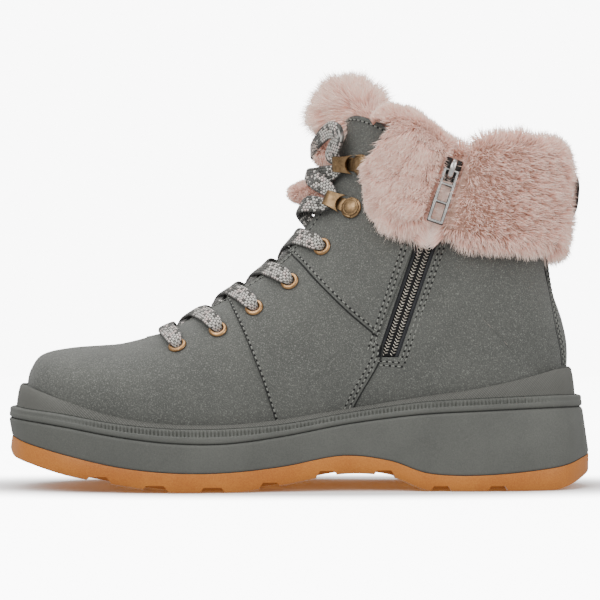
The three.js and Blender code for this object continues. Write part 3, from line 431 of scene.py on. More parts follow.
def eased(points, step=1.2):
    """A polyline with its corners rounded into a curve of short steps."""
    p = np.array(points, float)
    fine = spline(open_ends(p), np.linspace(0, len(p) - 1, max(8, (len(p) - 1) * 12) + 1))
    dist = np.concatenate([[0], np.cumsum(np.linalg.norm(np.diff(fine, axis=0), axis=1))])
    at = np.linspace(0, dist[-1], max(3, int(dist[-1] / step)) + 1)
    return np.stack([np.interp(at, dist, fine[:, k]) for k in range(p.shape[1])], 1)


def curve(points, step=1.2):
    return [tuple(p) for p in eased(points, step=step)]


def zip_x(z):
    return zip_foot[0] + zip_lean * (z - zip_foot[1])


zip_wider = math.hypot(1, zip_lean)


def zip_prism(name, half, low, high):
    w = half * zip_wider
    outline = [(zip_x(low) - w, low), (zip_x(low) + w, low), (zip_x(high) + w, high), (zip_x(high) - w, high)]
    return prism(name, outline, -90, -8)


def throat_plan(half, start, end):
    angles = [(i / 16 - 0.5) * math.pi for i in range(17)]
    points = [(start + half * (1 - math.cos(a)), half * math.sin(a)) for a in angles]
    return points + [(end, half + 1.5), (end, -half - 1.5)]


# Materials: sums on sockets read like sums on numbers
class Wire:
    def __init__(self, tree, socket):
        self.tree = tree
        self.socket = socket

    def sum(self, operation, *others):
        node = self.tree.nodes.new("ShaderNodeMath")
        node.operation = operation
        for socket, value in zip(node.inputs, others):
            connect(self.tree, value, socket)
        return Wire(self.tree, node.outputs[0])

    def __add__(self, other):
        return self.sum("ADD", self, other)

    def __sub__(self, other):
        return self.sum("SUBTRACT", self, other)

    def __rsub__(self, other):
        return self.sum("SUBTRACT", other, self)

    def __mul__(self, other):
        return self.sum("MULTIPLY", self, other)

    def __truediv__(self, other):
        return self.sum("DIVIDE", self, other)

    def __pow__(self, other):
        return self.sum("POWER", self, other)

    def sine(self):
        return self.sum("SINE", self)

    def floor(self):
        return self.sum("FLOOR", self)

    def part(self):
        return self.sum("FRACT", self)

    def size(self):
        return self.sum("ABSOLUTE", self)

    def between(self, low, high):
        node = self.tree.nodes.new("ShaderNodeMapRange")
        node.interpolation_type = "SMOOTHSTEP"
        for socket, value in zip(node.inputs, (self, low, high)):
            connect(self.tree, value, socket)
        return Wire(self.tree, node.outputs[0])

    __radd__ = __add__
    __rmul__ = __mul__


def linear(code):
    """A colour written as six hex figures, in linear light."""
    parts = [int(code[i:i + 2], 16) / 255 for i in (0, 2, 4)]
    return tuple(c / 12.92 if c <= 0.04045 else ((c + 0.055) / 1.055) ** 2.4 for c in parts) + (1,)


def connect(tree, value, socket):
    if isinstance(value, Wire):
        tree.links.new(value.socket, socket)
    else:
        socket.default_value = linear(value) if isinstance(value, str) else value


class Finish:
    """A material made of nodes; colours are given as six hex figures."""

    def __init__(self, name, **constants):
        self.material = bpy.data.materials.new(name)
        self.material.use_nodes = True
        self.tree = self.material.node_tree
        self.shader = self.tree.nodes["Principled BSDF"]
        for key, value in constants.items():
            self.shader.inputs[key.replace("_", " ")].default_value = value
        self.place = self.node("TexCoord", out="Object")

    def node(self, kind, settings=None, sockets=None, out=0):
        node = self.tree.nodes.new("ShaderNode" + kind)
        for key, value in (settings or {}).items():
            setattr(node, key, value)
        for key, value in (sockets or {}).items():
            connect(self.tree, value, node.inputs[key])
        return Wire(self.tree, node.outputs[out])

    def noise(self, scale, detail=2.0, roughness=0.5, low=None, high=None):
        """Noise, as a soft step from low to high where they are given."""
        sockets = {"Vector": self.place, "Scale": scale, "Detail": detail, "Roughness": roughness}
        noise = self.node("TexNoise", sockets=sockets)
        return noise if low is None else noise.between(low, high)

    def axes(self, place=None):
        node = self.tree.nodes.new("ShaderNodeSeparateXYZ")
        connect(self.tree, place or self.place, node.inputs[0])
        return [Wire(self.tree, out) for out in node.outputs]

    def strips(self):
        """The strip's own map, along and across it."""
        return self.axes(self.node("UVMap", {"uv_map": "UVMap"}))[:2]

    def stored(self, name):
        return self.node("Attribute", {"attribute_name": name}, out="Fac")

    def mix(self, share, low, high):
        node = self.tree.nodes.new("ShaderNodeMix")
        node.data_type = "RGBA"
        for index, value in ((0, share), (6, low), (7, high)):
            connect(self.tree, value, node.inputs[index])
        return Wire(self.tree, node.outputs[2])

    def wear(self, color, roughness, height=None, depth=0.0001, strength=1.0):
        connect(self.tree, color, self.shader.inputs["Base Color"])
        connect(self.tree, roughness, self.shader.inputs["Roughness"])
        if height is not None:
            bump = self.node("Bump", sockets={"Height": height, "Distance": depth, "Strength": strength})
            connect(self.tree, bump, self.shader.inputs["Normal"])
        return self.material


def nubuck_finish(name, dark, light, shade):
    """Brushed leather: a short nap with pale specks, cloudy patches and soft pores."""
    f = Finish(name, Sheen_Weight=0.12, Sheen_Roughness=0.6, Specular_IOR_Level=0.18)
    grain = f.noise(2600, 3, 0.65)
    nap = f.noise(620, 3, 0.7, 0.32, 0.68)
    color = f.mix(f.noise(42, 3, 0.6, 0.3, 0.7) * 0.3 + nap * 0.3 + 0.2, dark, light)
    color = f.mix(f.noise(1900, 1, 0.8, 0.52, 0.72) * 0.62, color, shade)
    color = f.mix(grain.between(0.42, 0.6) * 0.35, color, dark)
    return f.wear(color, 0.8 + nap * 0.14, grain + nap * 1.2, 0.00022, 0.55)


def rubber_finish(name, dark, light, rough, dust):
    """Moulded rubber: faint mottling, tiny pits and a little dust."""
    f = Finish(name, Specular_IOR_Level=0.35)
    fine = f.noise(1700, 3, 0.6)
    color = f.mix(f.noise(35, 3, 0.6, 0.3, 0.7) * 0.5 + fine.between(0.35, 0.65) * 0.5, dark, light)
    color = f.mix(f.noise(900, 2, 0.8, 0.62, 0.8) * 0.35, color, dust)
    return f.wear(color, rough + fine * 0.16, fine, 0.00012, 0.35)


def twill_finish(name, dark, light):
    """Rubber with a fine slanting twill pressed into it, fading out at the toe and the heel."""
    f = Finish(name, Specular_IOR_Level=0.3)
    x, y, z = f.axes()
    slant = ((x + z * 0.9 + y * 0.2) * (2 * math.pi / 0.0012)).sine() * 0.5 + 0.5
    cross = ((x - z * 0.9) * (2 * math.pi / 0.0024)).sine() * 0.5 + 0.5
    shown = x.between(-0.128, -0.1) * (1 - x.between(0.1, 0.135))
    twill = 0.6 + (slant * (0.6 + cross * 0.4) - 0.5) * shown * 0.8
    color = f.mix(f.noise(40, 3, 0.6, 0.3, 0.7) * 0.3, f.mix(twill, dark, light), light)
    return f.wear(color, 0.72 + twill * 0.1, twill + f.noise(2000, 2) * 0.3, 0.00025, 0.7)


def fur_finish(name, root, body, tip):
    """Strands that pale from a rosy root to a light tip, each of its own tone, glowing faintly in their own
    colour: painted light, as if lit through.
    """
    f = Finish(name, Sheen_Weight=0.25, Sheen_Roughness=0.4, Specular_IOR_Level=0.25, Emission_Strength=0.1)
    t = f.stored("tip")
    tone = f.stored("tone")
    color = f.mix(t.between(0.05, 0.6), root, body)
    color = f.mix(t.between(0.45, 1.0) * 0.85, color, tip)
    color = f.mix(1 - tone.between(0.0, 0.45), color, f.mix(0.36, color, root))
    # Painted light: the strands glow faintly in their own colour.
    connect(f.tree, color, f.shader.inputs["Emission Color"])
    return f.wear(color, 0.62 + tone * 0.2)


def pile_finish(name, dark, light):
    """The ground of the fur and the lining's short pile."""
    f = Finish(name, Sheen_Weight=0.4, Specular_IOR_Level=0.15)
    curls = f.noise(700, 5, 0.7)
    locks = f.noise(160, 3, 0.6, 0.35, 0.65)
    color = f.mix(curls.between(0.35, 0.65) * 0.7 + locks * 0.3, dark, light)
    return f.wear(color, 0.95, curls + locks, 0.0009, 0.8)


def lace_finish(name):
    """Flat woven lace: six ribs, a braid of grey with pale pink flecks, darker edges."""
    f = Finish(name, Sheen_Weight=0.2, Specular_IOR_Level=0.25)
    along, across = f.strips()
    lane = across * (6 / braid_map)
    column = lane.floor()
    off_lane = (lane.part() - 0.5).size()
    slot = along / 0.0019 + (column * 0.5).part() + off_lane * 0.6
    rib = 1 - (off_lane * 2) ** 2.2
    knit = 1 - (slot.part() - 0.5).size() * 2
    cell = f.node("CombineXYZ", sockets={"X": column, "Y": slot.floor()})
    which = f.node("TexWhiteNoise", {"noise_dimensions": "2D"}, {"Vector": cell})
    steep = f.axes()[1].size().between(0.013, 0.019) * 0.63
    pale = which.between(0.75 - steep, 0.8 - steep)
    color = f.mix(pale, "55544f", f.mix(f.noise(260, 2, 0.5, 0.5, 0.62), "cbc7bf", "e0cdc5"))
    color = f.mix(1 - knit.between(0.12, 0.5), color, "2b2a28")
    color = f.mix(1 - rib.between(0.0, 0.6), color, "2b2a28")
    edge = (across / braid_map - 0.5).size() * 2
    color = f.mix(edge.between(0.8, 0.98) * 0.7, color, "3c3b38")
    return f.wear(color, 0.86, rib * 1.2 + knit * 0.5, 0.0005, 0.8)


def metal_finish(name, base, deep, worn, rough):
    """Plated metal with darker tarnish in patches and fine brushing, and darker where its round forms turn
    away from view: painted shade at their edges in place of dark reflections.
    """
    f = Finish(name, Metallic=1.0)
    patches = f.noise(300, 4, 0.65, 0.35, 0.7)
    scratches = f.noise(4000, 2, 0.5)
    color = f.mix(f.noise(900, 3, 0.5, 0.6, 0.75) * 0.4, f.mix(patches * 0.55, base, deep), worn)
    # Painted shade: darker towards the edges of round forms, where they turn away from view.
    painted_edge_shade = f.node("LayerWeight", sockets={"Blend": 0.4}, out=1)
    color = f.mix(painted_edge_shade.between(0.3, 0.95) * 0.75, color, deep)
    return f.wear(color, rough + patches * 0.16 + scratches * 0.06, scratches, 0.00003, 0.4)


def web_finish(name, dark, light, pitch):
    """A plain weave of threads that follows the strip."""
    f = Finish(name, Sheen_Weight=0.2, Specular_IOR_Level=0.2)
    a, b = [(run * (math.pi / pitch)).sine() for run in f.strips()]
    weave = a * b * 0.5 + 0.5
    threads = a.size() * 0.5 + b.size() * 0.5
    color = f.mix(weave * 0.6 + threads * 0.3, dark, light)
    color = f.mix(f.noise(900, 3, 0.5, 0.4, 0.7) * 0.3, color, dark)
    return f.wear(color, 0.85, threads + weave * 0.5, 0.0003, 0.8)


def knit_finish(name, dark, light, pitch):
    """Close cloth of fine threads, on the object's own place."""
    f = Finish(name, Sheen_Weight=0.25, Specular_IOR_Level=0.15)
    x, y, z = f.axes()
    a = ((x + z * 0.35) * (math.pi / pitch)).sine().size()
    b = ((z - x * 0.34) * (math.pi / pitch)).sine().size()
    color = f.mix(f.noise(600, 3, 0.5, 0.4, 0.7) * 0.3, f.mix(a * 0.5 + b * 0.4, dark, light), dark)
    return f.wear(color, 0.9, a + b, 0.0002, 0.7)


braid_map = 0.0072
nubuck = nubuck_finish("nubuck_grey", "484946", "5f605b", "90918a")
# A near-black nubuck for the dark bars along the seams: painted shadow.
seam_shadow_finish = nubuck_finish("nubuck_fold", "242524", "323331", "3c3d3a")
thread = knit_finish("stitch_thread", "62635e", "a3a49c", 0.0004)
# Near-black beads at the needle holes: painted shade.
needle_hole_shade = nubuck_finish("needle_hole", "0e0e0e", "181817", "222221")
rubber = rubber_finish("sole_rubber_grey", "4d4e4a", "5b5c57", 0.55, "787972")
groove_rubber = rubber_finish("sole_groove", "343533", "42433f", 0.8, "4b4c48")
twill = twill_finish("rand_rubber", "3a3a37", "64645f")
gum = rubber_finish("gum_rubber", "9f5a1c", "b8732c", 0.42, "cc9150")
fur_strand = fur_finish("fur_strands", "bf8d7d", "f3cbba", "fff4ea")
# The ground under the fur's strands, darker than the strands: painted shade in the depth of the pile.
fur_ground = pile_finish("fur_ground", "94705f", "c9a292")
lining = pile_finish("fleece_lining", "a08a82", "cfb9b0")
felt = pile_finish("insole_felt", "4f5051", "6c6d6e")
lace_weave = lace_finish("lace_braid")
copper = metal_finish("eyelet_copper", "b28c62", "5a3e28", "e2c7a6", 0.26)
brass = metal_finish("hook_brass", "917656", "35291b", "c8ae80", 0.3)
# A dark copy of the nickel for the slider's plate and the pull's back: painted shade.
shaded_nickel = metal_finish("slider_shade", "4b4947", "2a2928", "6f6c69", 0.35)
nickel = metal_finish("polished_nickel", "d6d5d2", "6a6765", "f4f3f0", 0.16)
tape_cloth = knit_finish("zip_cloth", "1d1e20", "3a3b3e", 0.0008)
coil = metal_finish("zip_coil", "d3ccbf", "6d6963", "f2ecdf", 0.32)
coil_shade = rubber_finish("zip_bed", "0c0c0d", "1a1a1b", 0.7, "262627")
webbing = web_finish("loop_webbing", "232425", "46484a", 0.0012)


# Repeats: one tree lays a small piece at every point of a mesh
def repeats_tree():
    tree = bpy.data.node_groups.new("Repeats", "GeometryNodeTree")
    sockets = {}
    for name, kind in (("Geometry", "Geometry"), ("Piece", "Object"), ("Length", "Float"), ("Width", "Float"),
                       ("Height", "Float"), ("Spread", "Float"), ("Seed", "Int"), ("Material", "Material")):
        made = tree.interface.new_socket(name, in_out="INPUT", socket_type="NodeSocket" + kind)
        sockets[name] = made.identifier
    tree.interface.new_socket("Geometry", in_out="OUTPUT", socket_type="NodeSocketGeometry")

    def add(kind, given=None, **settings):
        node = tree.nodes.new(kind)
        for key, value in settings.items():
            setattr(node, key, value)
        for key, value in (given or {}).items():
            if isinstance(value, bpy.types.NodeSocket):
                tree.links.new(value, node.inputs[key])
            else:
                node.inputs[key].default_value = value
        return node.outputs

    def stored(name):
        return add("GeometryNodeInputNamedAttribute", {"Name": name}, data_type="FLOAT_VECTOR")["Attribute"]

    held = add("NodeGroupInput")
    turn = add("FunctionNodeAxesToRotation", {0: stored("along"), 1: stored("up")}, primary_axis="X",
               secondary_axis="Z")
    sizes = add("ShaderNodeCombineXYZ", {0: held["Length"], 1: held["Width"], 2: held["Height"]})
    chance = tree.nodes.new("FunctionNodeRandomValue")
    chance.data_type = "FLOAT"
    for socket in chance.inputs:
        if socket.type == "VALUE" and socket.name in ("Min", "Max"):
            socket.default_value = -1.0 if socket.name == "Min" else 1.0
    tree.links.new(held["Seed"], chance.inputs["Seed"])
    number = next(socket for socket in chance.outputs if socket.type == "VALUE")
    vary = add("ShaderNodeMath", {0: number, 1: held["Spread"], 2: 1.0}, operation="MULTIPLY_ADD")
    whole = add("ShaderNodeVectorMath", {0: sizes[0], 1: stored("size")}, operation="MULTIPLY")
    scaled = add("ShaderNodeVectorMath", {0: whole[0], "Scale": vary[0]}, operation="SCALE")
    piece = add("GeometryNodeObjectInfo", {"Object": held["Piece"]})
    laid = add("GeometryNodeInstanceOnPoints", {"Points": held["Geometry"], "Instance": piece["Geometry"],
                                                "Rotation": turn[0], "Scale": scaled[0]})
    real = add("GeometryNodeRealizeInstances", {0: laid[0]})
    dressed = add("GeometryNodeSetMaterial", {"Geometry": real[0], "Material": held["Material"]})
    add("NodeGroupOutput", {0: dressed[0]})
    return tree, sockets


repeats, repeat_sockets = repeats_tree()


def lay_repeats(name, at, along, up, piece, sizes, material, size=1.0, tone=0.5, spread=0.08, seed=1):
    """Lays the piece at each place: sizes are its length, width and height in millimetres."""
    obj = mesh_object(name, at, [])
    count = len(at)
    values = {"along": along, "up": up, "size": size}
    for key, value in values.items():
        layer = obj.data.attributes.new(key, "FLOAT_VECTOR", "POINT")
        layer.data.foreach_set("vector", np.ascontiguousarray(np.broadcast_to(value, (count, 3)),
                                                              float).ravel())
    layer = obj.data.attributes.new("tone", "FLOAT", "POINT")
    layer.data.foreach_set("value", tone + np.zeros(count))
    mod = obj.modifiers.new("repeats", "NODES")
    mod.node_group = repeats
    given = {"Piece": piece, "Spread": spread, "Seed": seed, "Material": material}
    given |= {key: length * 0.001 for key, length in zip(("Length", "Width", "Height"), sizes)}
    for key, value in given.items():
        mod[repeat_sockets[key]] = value
    settled(obj)
    for key in values:
        if key in obj.data.attributes:
            obj.data.attributes.remove(obj.data.attributes[key])
    return soften(obj, 60)


def template(name, points, faces):
    """A small shape that is laid many times, in shares of its own length, width and height."""
    mesh = bpy.data.meshes.new(name)
    mesh.from_pydata(points, [], faces)
    return bpy.data.objects.new(name, mesh)


def bead(name, around, along, square):
    """A closed bead whose length, width and height are each 1."""
    points = [(-0.5, 0, 0)]
    for i in range(1, along):
        a = math.pi * i / along
        r = 0.5 * math.sin(a) ** square
        for j in range(around):
            b = 2 * math.pi * j / around
            points.append((-0.5 * math.cos(a), r * math.cos(b), r * math.sin(b)))
    points.append((0.5, 0, 0))
    faces = []
    last = 1 + (along - 2) * around
    for j in range(around):
        k = (j + 1) % around
        faces.append((0, 1 + k, 1 + j))
        faces += [(a + j, a + k, a + around + k, a + around + j) for a in range(1, last, around)]
        faces.append((last + j, last + k, len(points) - 1))
    return template(name, points, faces)


stitch_bead = bead("stitch_bead", 6, 4, 0.6)
tooth_bead = bead("tooth_bead", 8, 5, 0.5)
blade = template("fur_blade", [(0, -0.5, 0), (0, 0.5, 0), (0.38, 0.42, 0.05), (0.38, -0.42, 0.05),
                               (0.74, -0.28, 0.16),
                               (0.74, 0.28, 0.16), (1, 0, 0.3)], [(0, 1, 2, 3), (3, 2, 5, 4), (4, 5, 6)])
blade_tips = blade.data.attributes.new("tip", "FLOAT", "POINT")
blade_tips.data.foreach_set("value", [0, 0, 0.4, 0.4, 0.75, 0.75, 1])


def walk(points, pitch, start=0.5):
    """Places every pitch along a line of points, with the direction of the line there."""
    d = np.concatenate([[0], np.cumsum(np.linalg.norm(np.diff(points, axis=0), axis=1))])
    at = np.arange(start * pitch, d[-1], pitch)

    def sample(s):
        return np.stack([np.interp(s, d, points[:, k]) for k in range(3)], 1)

    return sample(at), unit(sample(np.minimum(at + 0.3, d[-1])) - sample(np.maximum(at - 0.3, 0)))


def shifted(rows, by):
    """The line moved sideways, to its left as it runs."""
    flat = eased(rows, step=1.0)
    d = unit(np.gradient(flat, axis=0))
    return flat + np.stack([-d[:, 1], d[:, 0]], 1) * by


# Camera, floor and lights
camera = bpy.data.objects.new("camera", bpy.data.cameras.new("camera"))
camera.data.lens = 150.4
camera.data.sensor_width = 36
camera.data.clip_start = 0.05
camera.location = (0, -1.2, 0.0888)
camera.rotation_euler = (math.pi / 2, 0, 0)
scene.collection.objects.link(camera)
scene.camera = camera


def area_light(name, place, aim, size, power):
    lamp = bpy.data.lights.new(name, "AREA")
    lamp.shape = "RECTANGLE"
    lamp.size, lamp.size_y = size
    lamp.energy = power
    obj = bpy.data.objects.new(name, lamp)
    obj.location = place
    obj.rotation_euler = (Vector(aim) - Vector(place)).to_track_quat("-Z", "Y").to_euler()
    scene.collection.objects.link(obj)


area_light("soft_key", (-0.55, -0.9, 0.95), (0, 0, 0.08), (0.9, 0.9), 11)
area_light("soft_side", (0.95, -0.75, 0.6), (0.02, 0, 0.09), (0.8, 0.8), 6)
area_light("soft_top", (-0.1, 0.1, 1.25), (0, 0, 0.1), (1.2, 1.0), 12)
world = bpy.data.worlds.new("studio")
scene.world = world
world.use_nodes = True
sky = world.node_tree
sky.nodes["Background"].inputs[0].default_value = (1, 1, 1, 1)
sky.nodes["Background"].inputs[1].default_value = 0.85
bright = sky.nodes.new("ShaderNodeBackground")
bright.inputs[0].default_value = (1, 1, 1, 1)
bright.inputs[1].default_value = 9.0
seen_by = sky.nodes.new("ShaderNodeLightPath")
either = sky.nodes.new("ShaderNodeMixShader")
sky.links.new(seen_by.outputs["Is Camera Ray"], either.inputs[0])
sky.links.new(sky.nodes["Background"].outputs[0], either.inputs[1])
sky.links.new(bright.outputs[0], either.inputs[2])
sky.links.new(either.outputs[0], sky.nodes["World Output"].inputs[0])
floor = mesh_object("floor", [(-1500, -700, 0), (1500, -700, 0), (1500, 1700, 0), (-1500, 1700, 0)],
                    [(0, 1, 2, 3)])
floor_finish = Finish("floor_pale", Specular_IOR_Level=0.1)
floor_shade = floor_finish.noise(6, 2).between(0.2, 0.8)
floor.data.materials.append(floor_finish.wear(
    floor_finish.mix(floor_shade, (0.93, 0.93, 0.93, 1), (0.95, 0.95, 0.95, 1)), 0.9))
# The floor glows white, but the glow fades out round the sole: a painted soft shadow there.
floor_x, floor_y, _ = floor_finish.axes()
away = ((floor_x / 0.15) ** 2 + (floor_y / 0.058) ** 2) ** 0.5
floor_glow_with_painted_shadow = floor_finish.mix(away.between(0.9, 1.75), (0.0, 0.0, 0.0, 1), (1, 1, 1, 1))
connect(floor_finish.tree, floor_glow_with_painted_shadow, floor_finish.shader.inputs["Emission Color"])
floor_finish.shader.inputs["Emission Strength"].default_value = 8.4
floor.visible_diffuse = False
floor.visible_glossy = False


def finished(obj, degrees, material, slot, *nodes, body=BODY):
    """The piece shaded, dressed, set on its body and put in place of the solids' nodes."""
    if degrees:
        soften(obj, degrees)
    if material:
        obj.data.materials.clear()
        obj.data.materials.append(material)
    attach(obj, body)
    if nodes:
        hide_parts(*nodes)
    return obj


# Sole
def ring_solid(name, profile, count=480, closed=False):
    """A solid round the sole's outline: the profile gives insets and heights at each station."""
    turn = np.arange(count) / count
    rings = [rim(turn, inset + 0 * turn, height + 0 * turn) for inset,
             height in profile(Station(row_at(turn)))]
    faces = grid_faces(len(rings), count, close_rows=closed, close_cols=True)
    for base in () if closed else (0, (len(rings) - 1) * count):
        faces.append((base, base + 1, base + count - 1))
        for i in range(1, count // 2 - 1):
            faces.append((base + i, base + i + 1, base + count - i - 1, base + count - i))
        faces.append((base + count // 2 - 1, base + count // 2, base + count // 2 + 1))
    return weld(mesh_object(name, rings, faces))


def station_near(x):
    return Station(halve(0.0, float(heel_row), 30, lambda row: Station(row).x < x))


gum_sole = ring_solid("gum_sole", lambda s: [
    (2.4, s.under), (1.5, s.under + 0.12), (0.75, s.under + 0.5), (0.35, s.under + 1.2),
    (0.2 + s.gum_inset * 0.3, s.under * 0.6 + s.gum * 0.4), (s.gum_inset + 0.1, s.gum - 0.5),
    (s.gum_inset + 0.35, s.gum),
])
cuts = []
for i in range(notch_count):
    x = -sole_length / 2 + first_notch + i * tread_pitch
    s = station_near(x)
    foot, medial, lateral = float(s.under), float(s.medial), float(s.lateral)
    half = notch_mouth / 2 * (1.28 if i < 3 else 1.04)
    top = foot + tread_depth * 0.92
    profile = [(x - half, -9), (x + half, -9), (x + half, foot), (x + half * 0.66, top),
               (x - half * 0.66, top),
               (x - half, foot)]
    for side, edge in ((-1, medial), (1, lateral)):
        cuts.append(prism("notch", profile, *sorted([edge + side * 8, edge - side * notch_reach])))
    middle = (medial + lateral) / 2
    reach = (lateral - medial) / 2 - notch_reach - 6
    for at in (x - tread_pitch * 0.22, x + tread_pitch * 0.28) if reach > 4 else ():
        low = float(station_near(at).under) - 2
        chevron = [(at - 5, middle), (at, middle - reach), (at + 3.4, middle - reach), (at - 1.4, middle),
                   (at + 3.4, middle + reach), (at, middle + reach)]
        cuts.append(prism("tread", chevron, low, low + 3.9, "z"))
cuts.append(ring_solid("channel", lambda s: [
    (notch_reach + 1.4, s.under - 2), (notch_reach + 1.4, s.under + 1.9),
    (notch_reach + 3.4, s.under + 1.9), (notch_reach + 3.4, s.under - 2),
], 240, True))
heel_round = curve([(116.5, 0), (121, 0.8), (125.7, 2.2), (129.9, 3.9), (133.7, 5.8), (136.8, 7.7),
                    (138.6, 9.8)])
toe_round = curve([(-136.9, 19), (-135, 16.5), (-132.1, 14.5), (-126.8, 12.4), (-121.7, 10.4), (-114.7, 8)])
cuts.append(prism("heel_round", heel_round + [(143, 9.8), (143, -6), (116.5, -6)], -80, 80))
cuts.append(prism("toe_round", [(-112, 7.4), (-112, -6), (-146, -6), (-146, 19)] + toe_round, -80, 80))
for cut in cuts:
    combine(gum_sole, cut)
finished(gum_sole, 32, gum, "gum_rubber", "outsole")

mid_sole = ring_solid("mid_sole", lambda s: [
    (s.gum_inset + 1.2, s.gum + 0.12), (s.gum_inset + 0.55, s.gum + 0.25), (s.gum_inset + 0.25, s.gum + 0.6),
    (s.gum_inset * 0.9 + 0.12, s.gum + 1.3),
    (s.gum_inset * 0.5 + s.top_inset * 0.4 + 0.05, s.gum * 0.55 + s.parting * 0.45),
    (s.top_inset * 0.88, s.parting - 1.6), (s.top_inset + 0.05, s.parting - 0.8),
    (s.top_inset + 0.4, s.parting - 0.3),
    (s.top_inset + 1.2, s.parting - 0.1),
])
finished(mid_sole, 35, rubber, "grey_rubber", "midsole")

# Fine upright ribs on the welt's upper half, fading out towards the toe and the heel
rib_columns = 1920
rib_turn = np.arange(rib_columns) / rib_columns
rib_x = Station(row_at(rib_turn)).x
rib_edge = rim(rib_turn, 0, 0 * rib_turn)
rib_run = np.cumsum(np.linalg.norm(rib_edge - np.roll(rib_edge, 1, 0), axis=1))
rib_fade = smooth(rib_x, -sole_length * 0.42,
                  -sole_length * 0.3) * (1 - smooth(rib_x, sole_length * 0.36, sole_length * 0.46))
rib_phase = 2 * math.pi * round(rib_run[-1] / 1.75) * rib_run / rib_run[-1]
rib = (0.5 - 0.5 * np.cos(rib_phase)) ** 1.6 * 0.75 * rib_fade


def welt_profile(s):
    middle = (s.parting + s.welt) / 2
    inner = welt_inset + s.top_inset - 2.2
    outer = [(1.4, s.parting + 0.15), (0.5, s.parting + 0.3), (0.08, s.parting + 0.7), (0, s.parting + 1.3),
             (0.02, middle - 0.3), (0.2, middle), (0.3 + rib, middle + 0.15),
             (0.25 + rib, (middle + s.welt) / 2),
             (0.3 + rib, s.welt - 0.75), (0.6 + rib * 0.6, s.welt - 0.35), (1.2 + rib * 0.2, s.welt - 0.06),
             (2.0, s.welt)]
    return [(s.top_inset + inset, height) for inset, height in outer] + [(inner, s.welt),
                                                                         (inner, s.parting + 0.15)]


finished(ring_solid("welt_band", welt_profile, rib_columns, True), 50, rubber, "grey_rubber", "welt")
for name, profile in (
        ("rand_line", lambda s: [(s.top_inset + rand_foot + inset, s.welt + height)
                                 for inset, height in ((-0.6, -0.3), (-0.55, 0.3), (1.5, 0.4), (1.5, -0.3))]),
        ("parting_line", lambda s: [(s.top_inset + inset, s.parting + height)
                                    for inset, height in ((1.0, -0.3), (0.85, 0.3), (4, 0.2), (4, -0.2))]),
        ("gum_line", lambda s: [(s.gum_inset + inset, s.gum + height)
                                for inset, height in ((0.95, -0.3), (0.95, 0.35), (4, 0.3), (4, -0.3))])):
    finished(ring_solid(name, profile, 480, True), 35, groove_rubber, "grey_rubber")


# Upper. Soft folds where the foot bends and where the shaft meets the heel: from, to, width, depth
folds = [(-92, 46, -84, 66, 4.5, 0.35), (-74, 44, -66, 60, 5, 0.3), (60, 58, 100, 78, 7, 0.55),
         (66, 74, 112, 96, 7, 0.5),
         (-8, 60, 22, 84, 6, 0.3), (88, 98, 120, 104, 6, 0.45)]


def puckers(base):
    """Each fold a trough with a ridge beside it, over a slight swell."""
    x, y, z = np.moveaxis(base, -1, 0)
    lift = 0.16 * np.sin(x * 0.11 + np.where(y < 0, -1.0, 1.0)) * np.sin(z * 0.13 + 0.7) * smooth(z, 50, 70)
    for x0, z0, x1, z1, wide, deep in folds:
        length = math.hypot(x1 - x0, z1 - z0)
        dx, dz = (x1 - x0) / length, (z1 - z0) / length
        t = ((x - x0) * dx + (z - z0) * dz) / length
        off = (z - z0) * dx - (x - x0) * dz
        ends = smooth(t, -0.15, 0.25) * (1 - smooth(t, 0.75, 1.15))
        lift = lift + deep * ends * (0.45 * np.exp(-((off - 1.9 * wide) / wide) ** 2)
                                     - np.exp(-(off / wide) ** 2))
    return lift


def panel(name, outline, rise):
    solid = form(name, rise, shape=puckers)
    return combine(solid, prism(name + "_edge", outline, -90, 90), "INTERSECT")


upper = form("upper_skin", 0, shape=puckers)
middle_outline = curve(middle_panel[:7]) + curve(middle_panel[7:11]) + middle_panel[11:]
combine(upper, panel("middle_panel", middle_outline, middle_rise), "UNION")
combine(upper, panel("shaft_panel", curve(shaft_panel[:6]) + shaft_panel[6:], shaft_rise), "UNION")
whole_upper = upper.copy()
whole_upper.data = upper.data.copy()
scene.collection.objects.link(whole_upper)


def basis_at(x, z, side, rise, toward):
    """Place on the skin, and a frame there: along towards another place, across, and out."""
    (place,), (out,) = on_skin([x], [z], side, [rise])
    (aim,), _ = on_skin([toward[0]], [toward[1]], side, [rise])
    along = unit(aim - place - out * np.dot(aim - place, out))
    return place, np.array([along, np.cross(out, along), out])


def lathe(name, profile, count, place, axes, closed=False):
    """A profile of radius and height turned round the frame's outward axis."""
    angles = 2 * math.pi * np.arange(count) / count
    points = [[(r * math.cos(a), r * math.sin(a), h) for a in angles] for r, h in profile]
    faces = grid_faces(len(profile), count, close_rows=closed, close_cols=True)
    return weld(mesh_object(name, put_at(points, place, axes), faces), 1e-7)


# Eyelets and hooks as shares of the boot's length and height, medial side first
both = (-1, 1)
side_names = {-1: "medial", 1: "lateral"}
eyelet_rows = [(-0.2065, 0.397, 0), (-0.1384, 0.441, 0), (-0.0768, 0.4976, middle_rise),
               (-0.0163, 0.5706, middle_rise),
               (0.0402, 0.6653, shaft_rise)]
hook_rows = [(0.0431, 0.8024, 0.0899, 0.7735), (0.0554, 0.9153, 0.1083, 0.8953)]
holes, hooks = {}, {}
for side in both:
    for i, (hx, hz, rise) in enumerate(eyelet_rows):
        x, z = hx * sole_length, hz * upper_height
        place, axes = basis_at(x, z, side, rise, (x - 5, z + 5))
        row, around = skin_at(x, z, side)
        holes[side, i] = {"rise": rise, "place": place, "axes": axes, "row": float(row),
                          "y": float(skin_point(row, around)[1])}
    for i, (lx, lz, rx, rz) in enumerate(hook_rows):
        lip = (lx * sole_length, lz * upper_height)
        rivet = (rx * sole_length, rz * upper_height)
        place, axes = basis_at(*rivet, side, shaft_rise, lip)
        hooks[side, i] = {"lip": lip, "place": place, "axes": axes, "reach": math.dist(lip, rivet)}

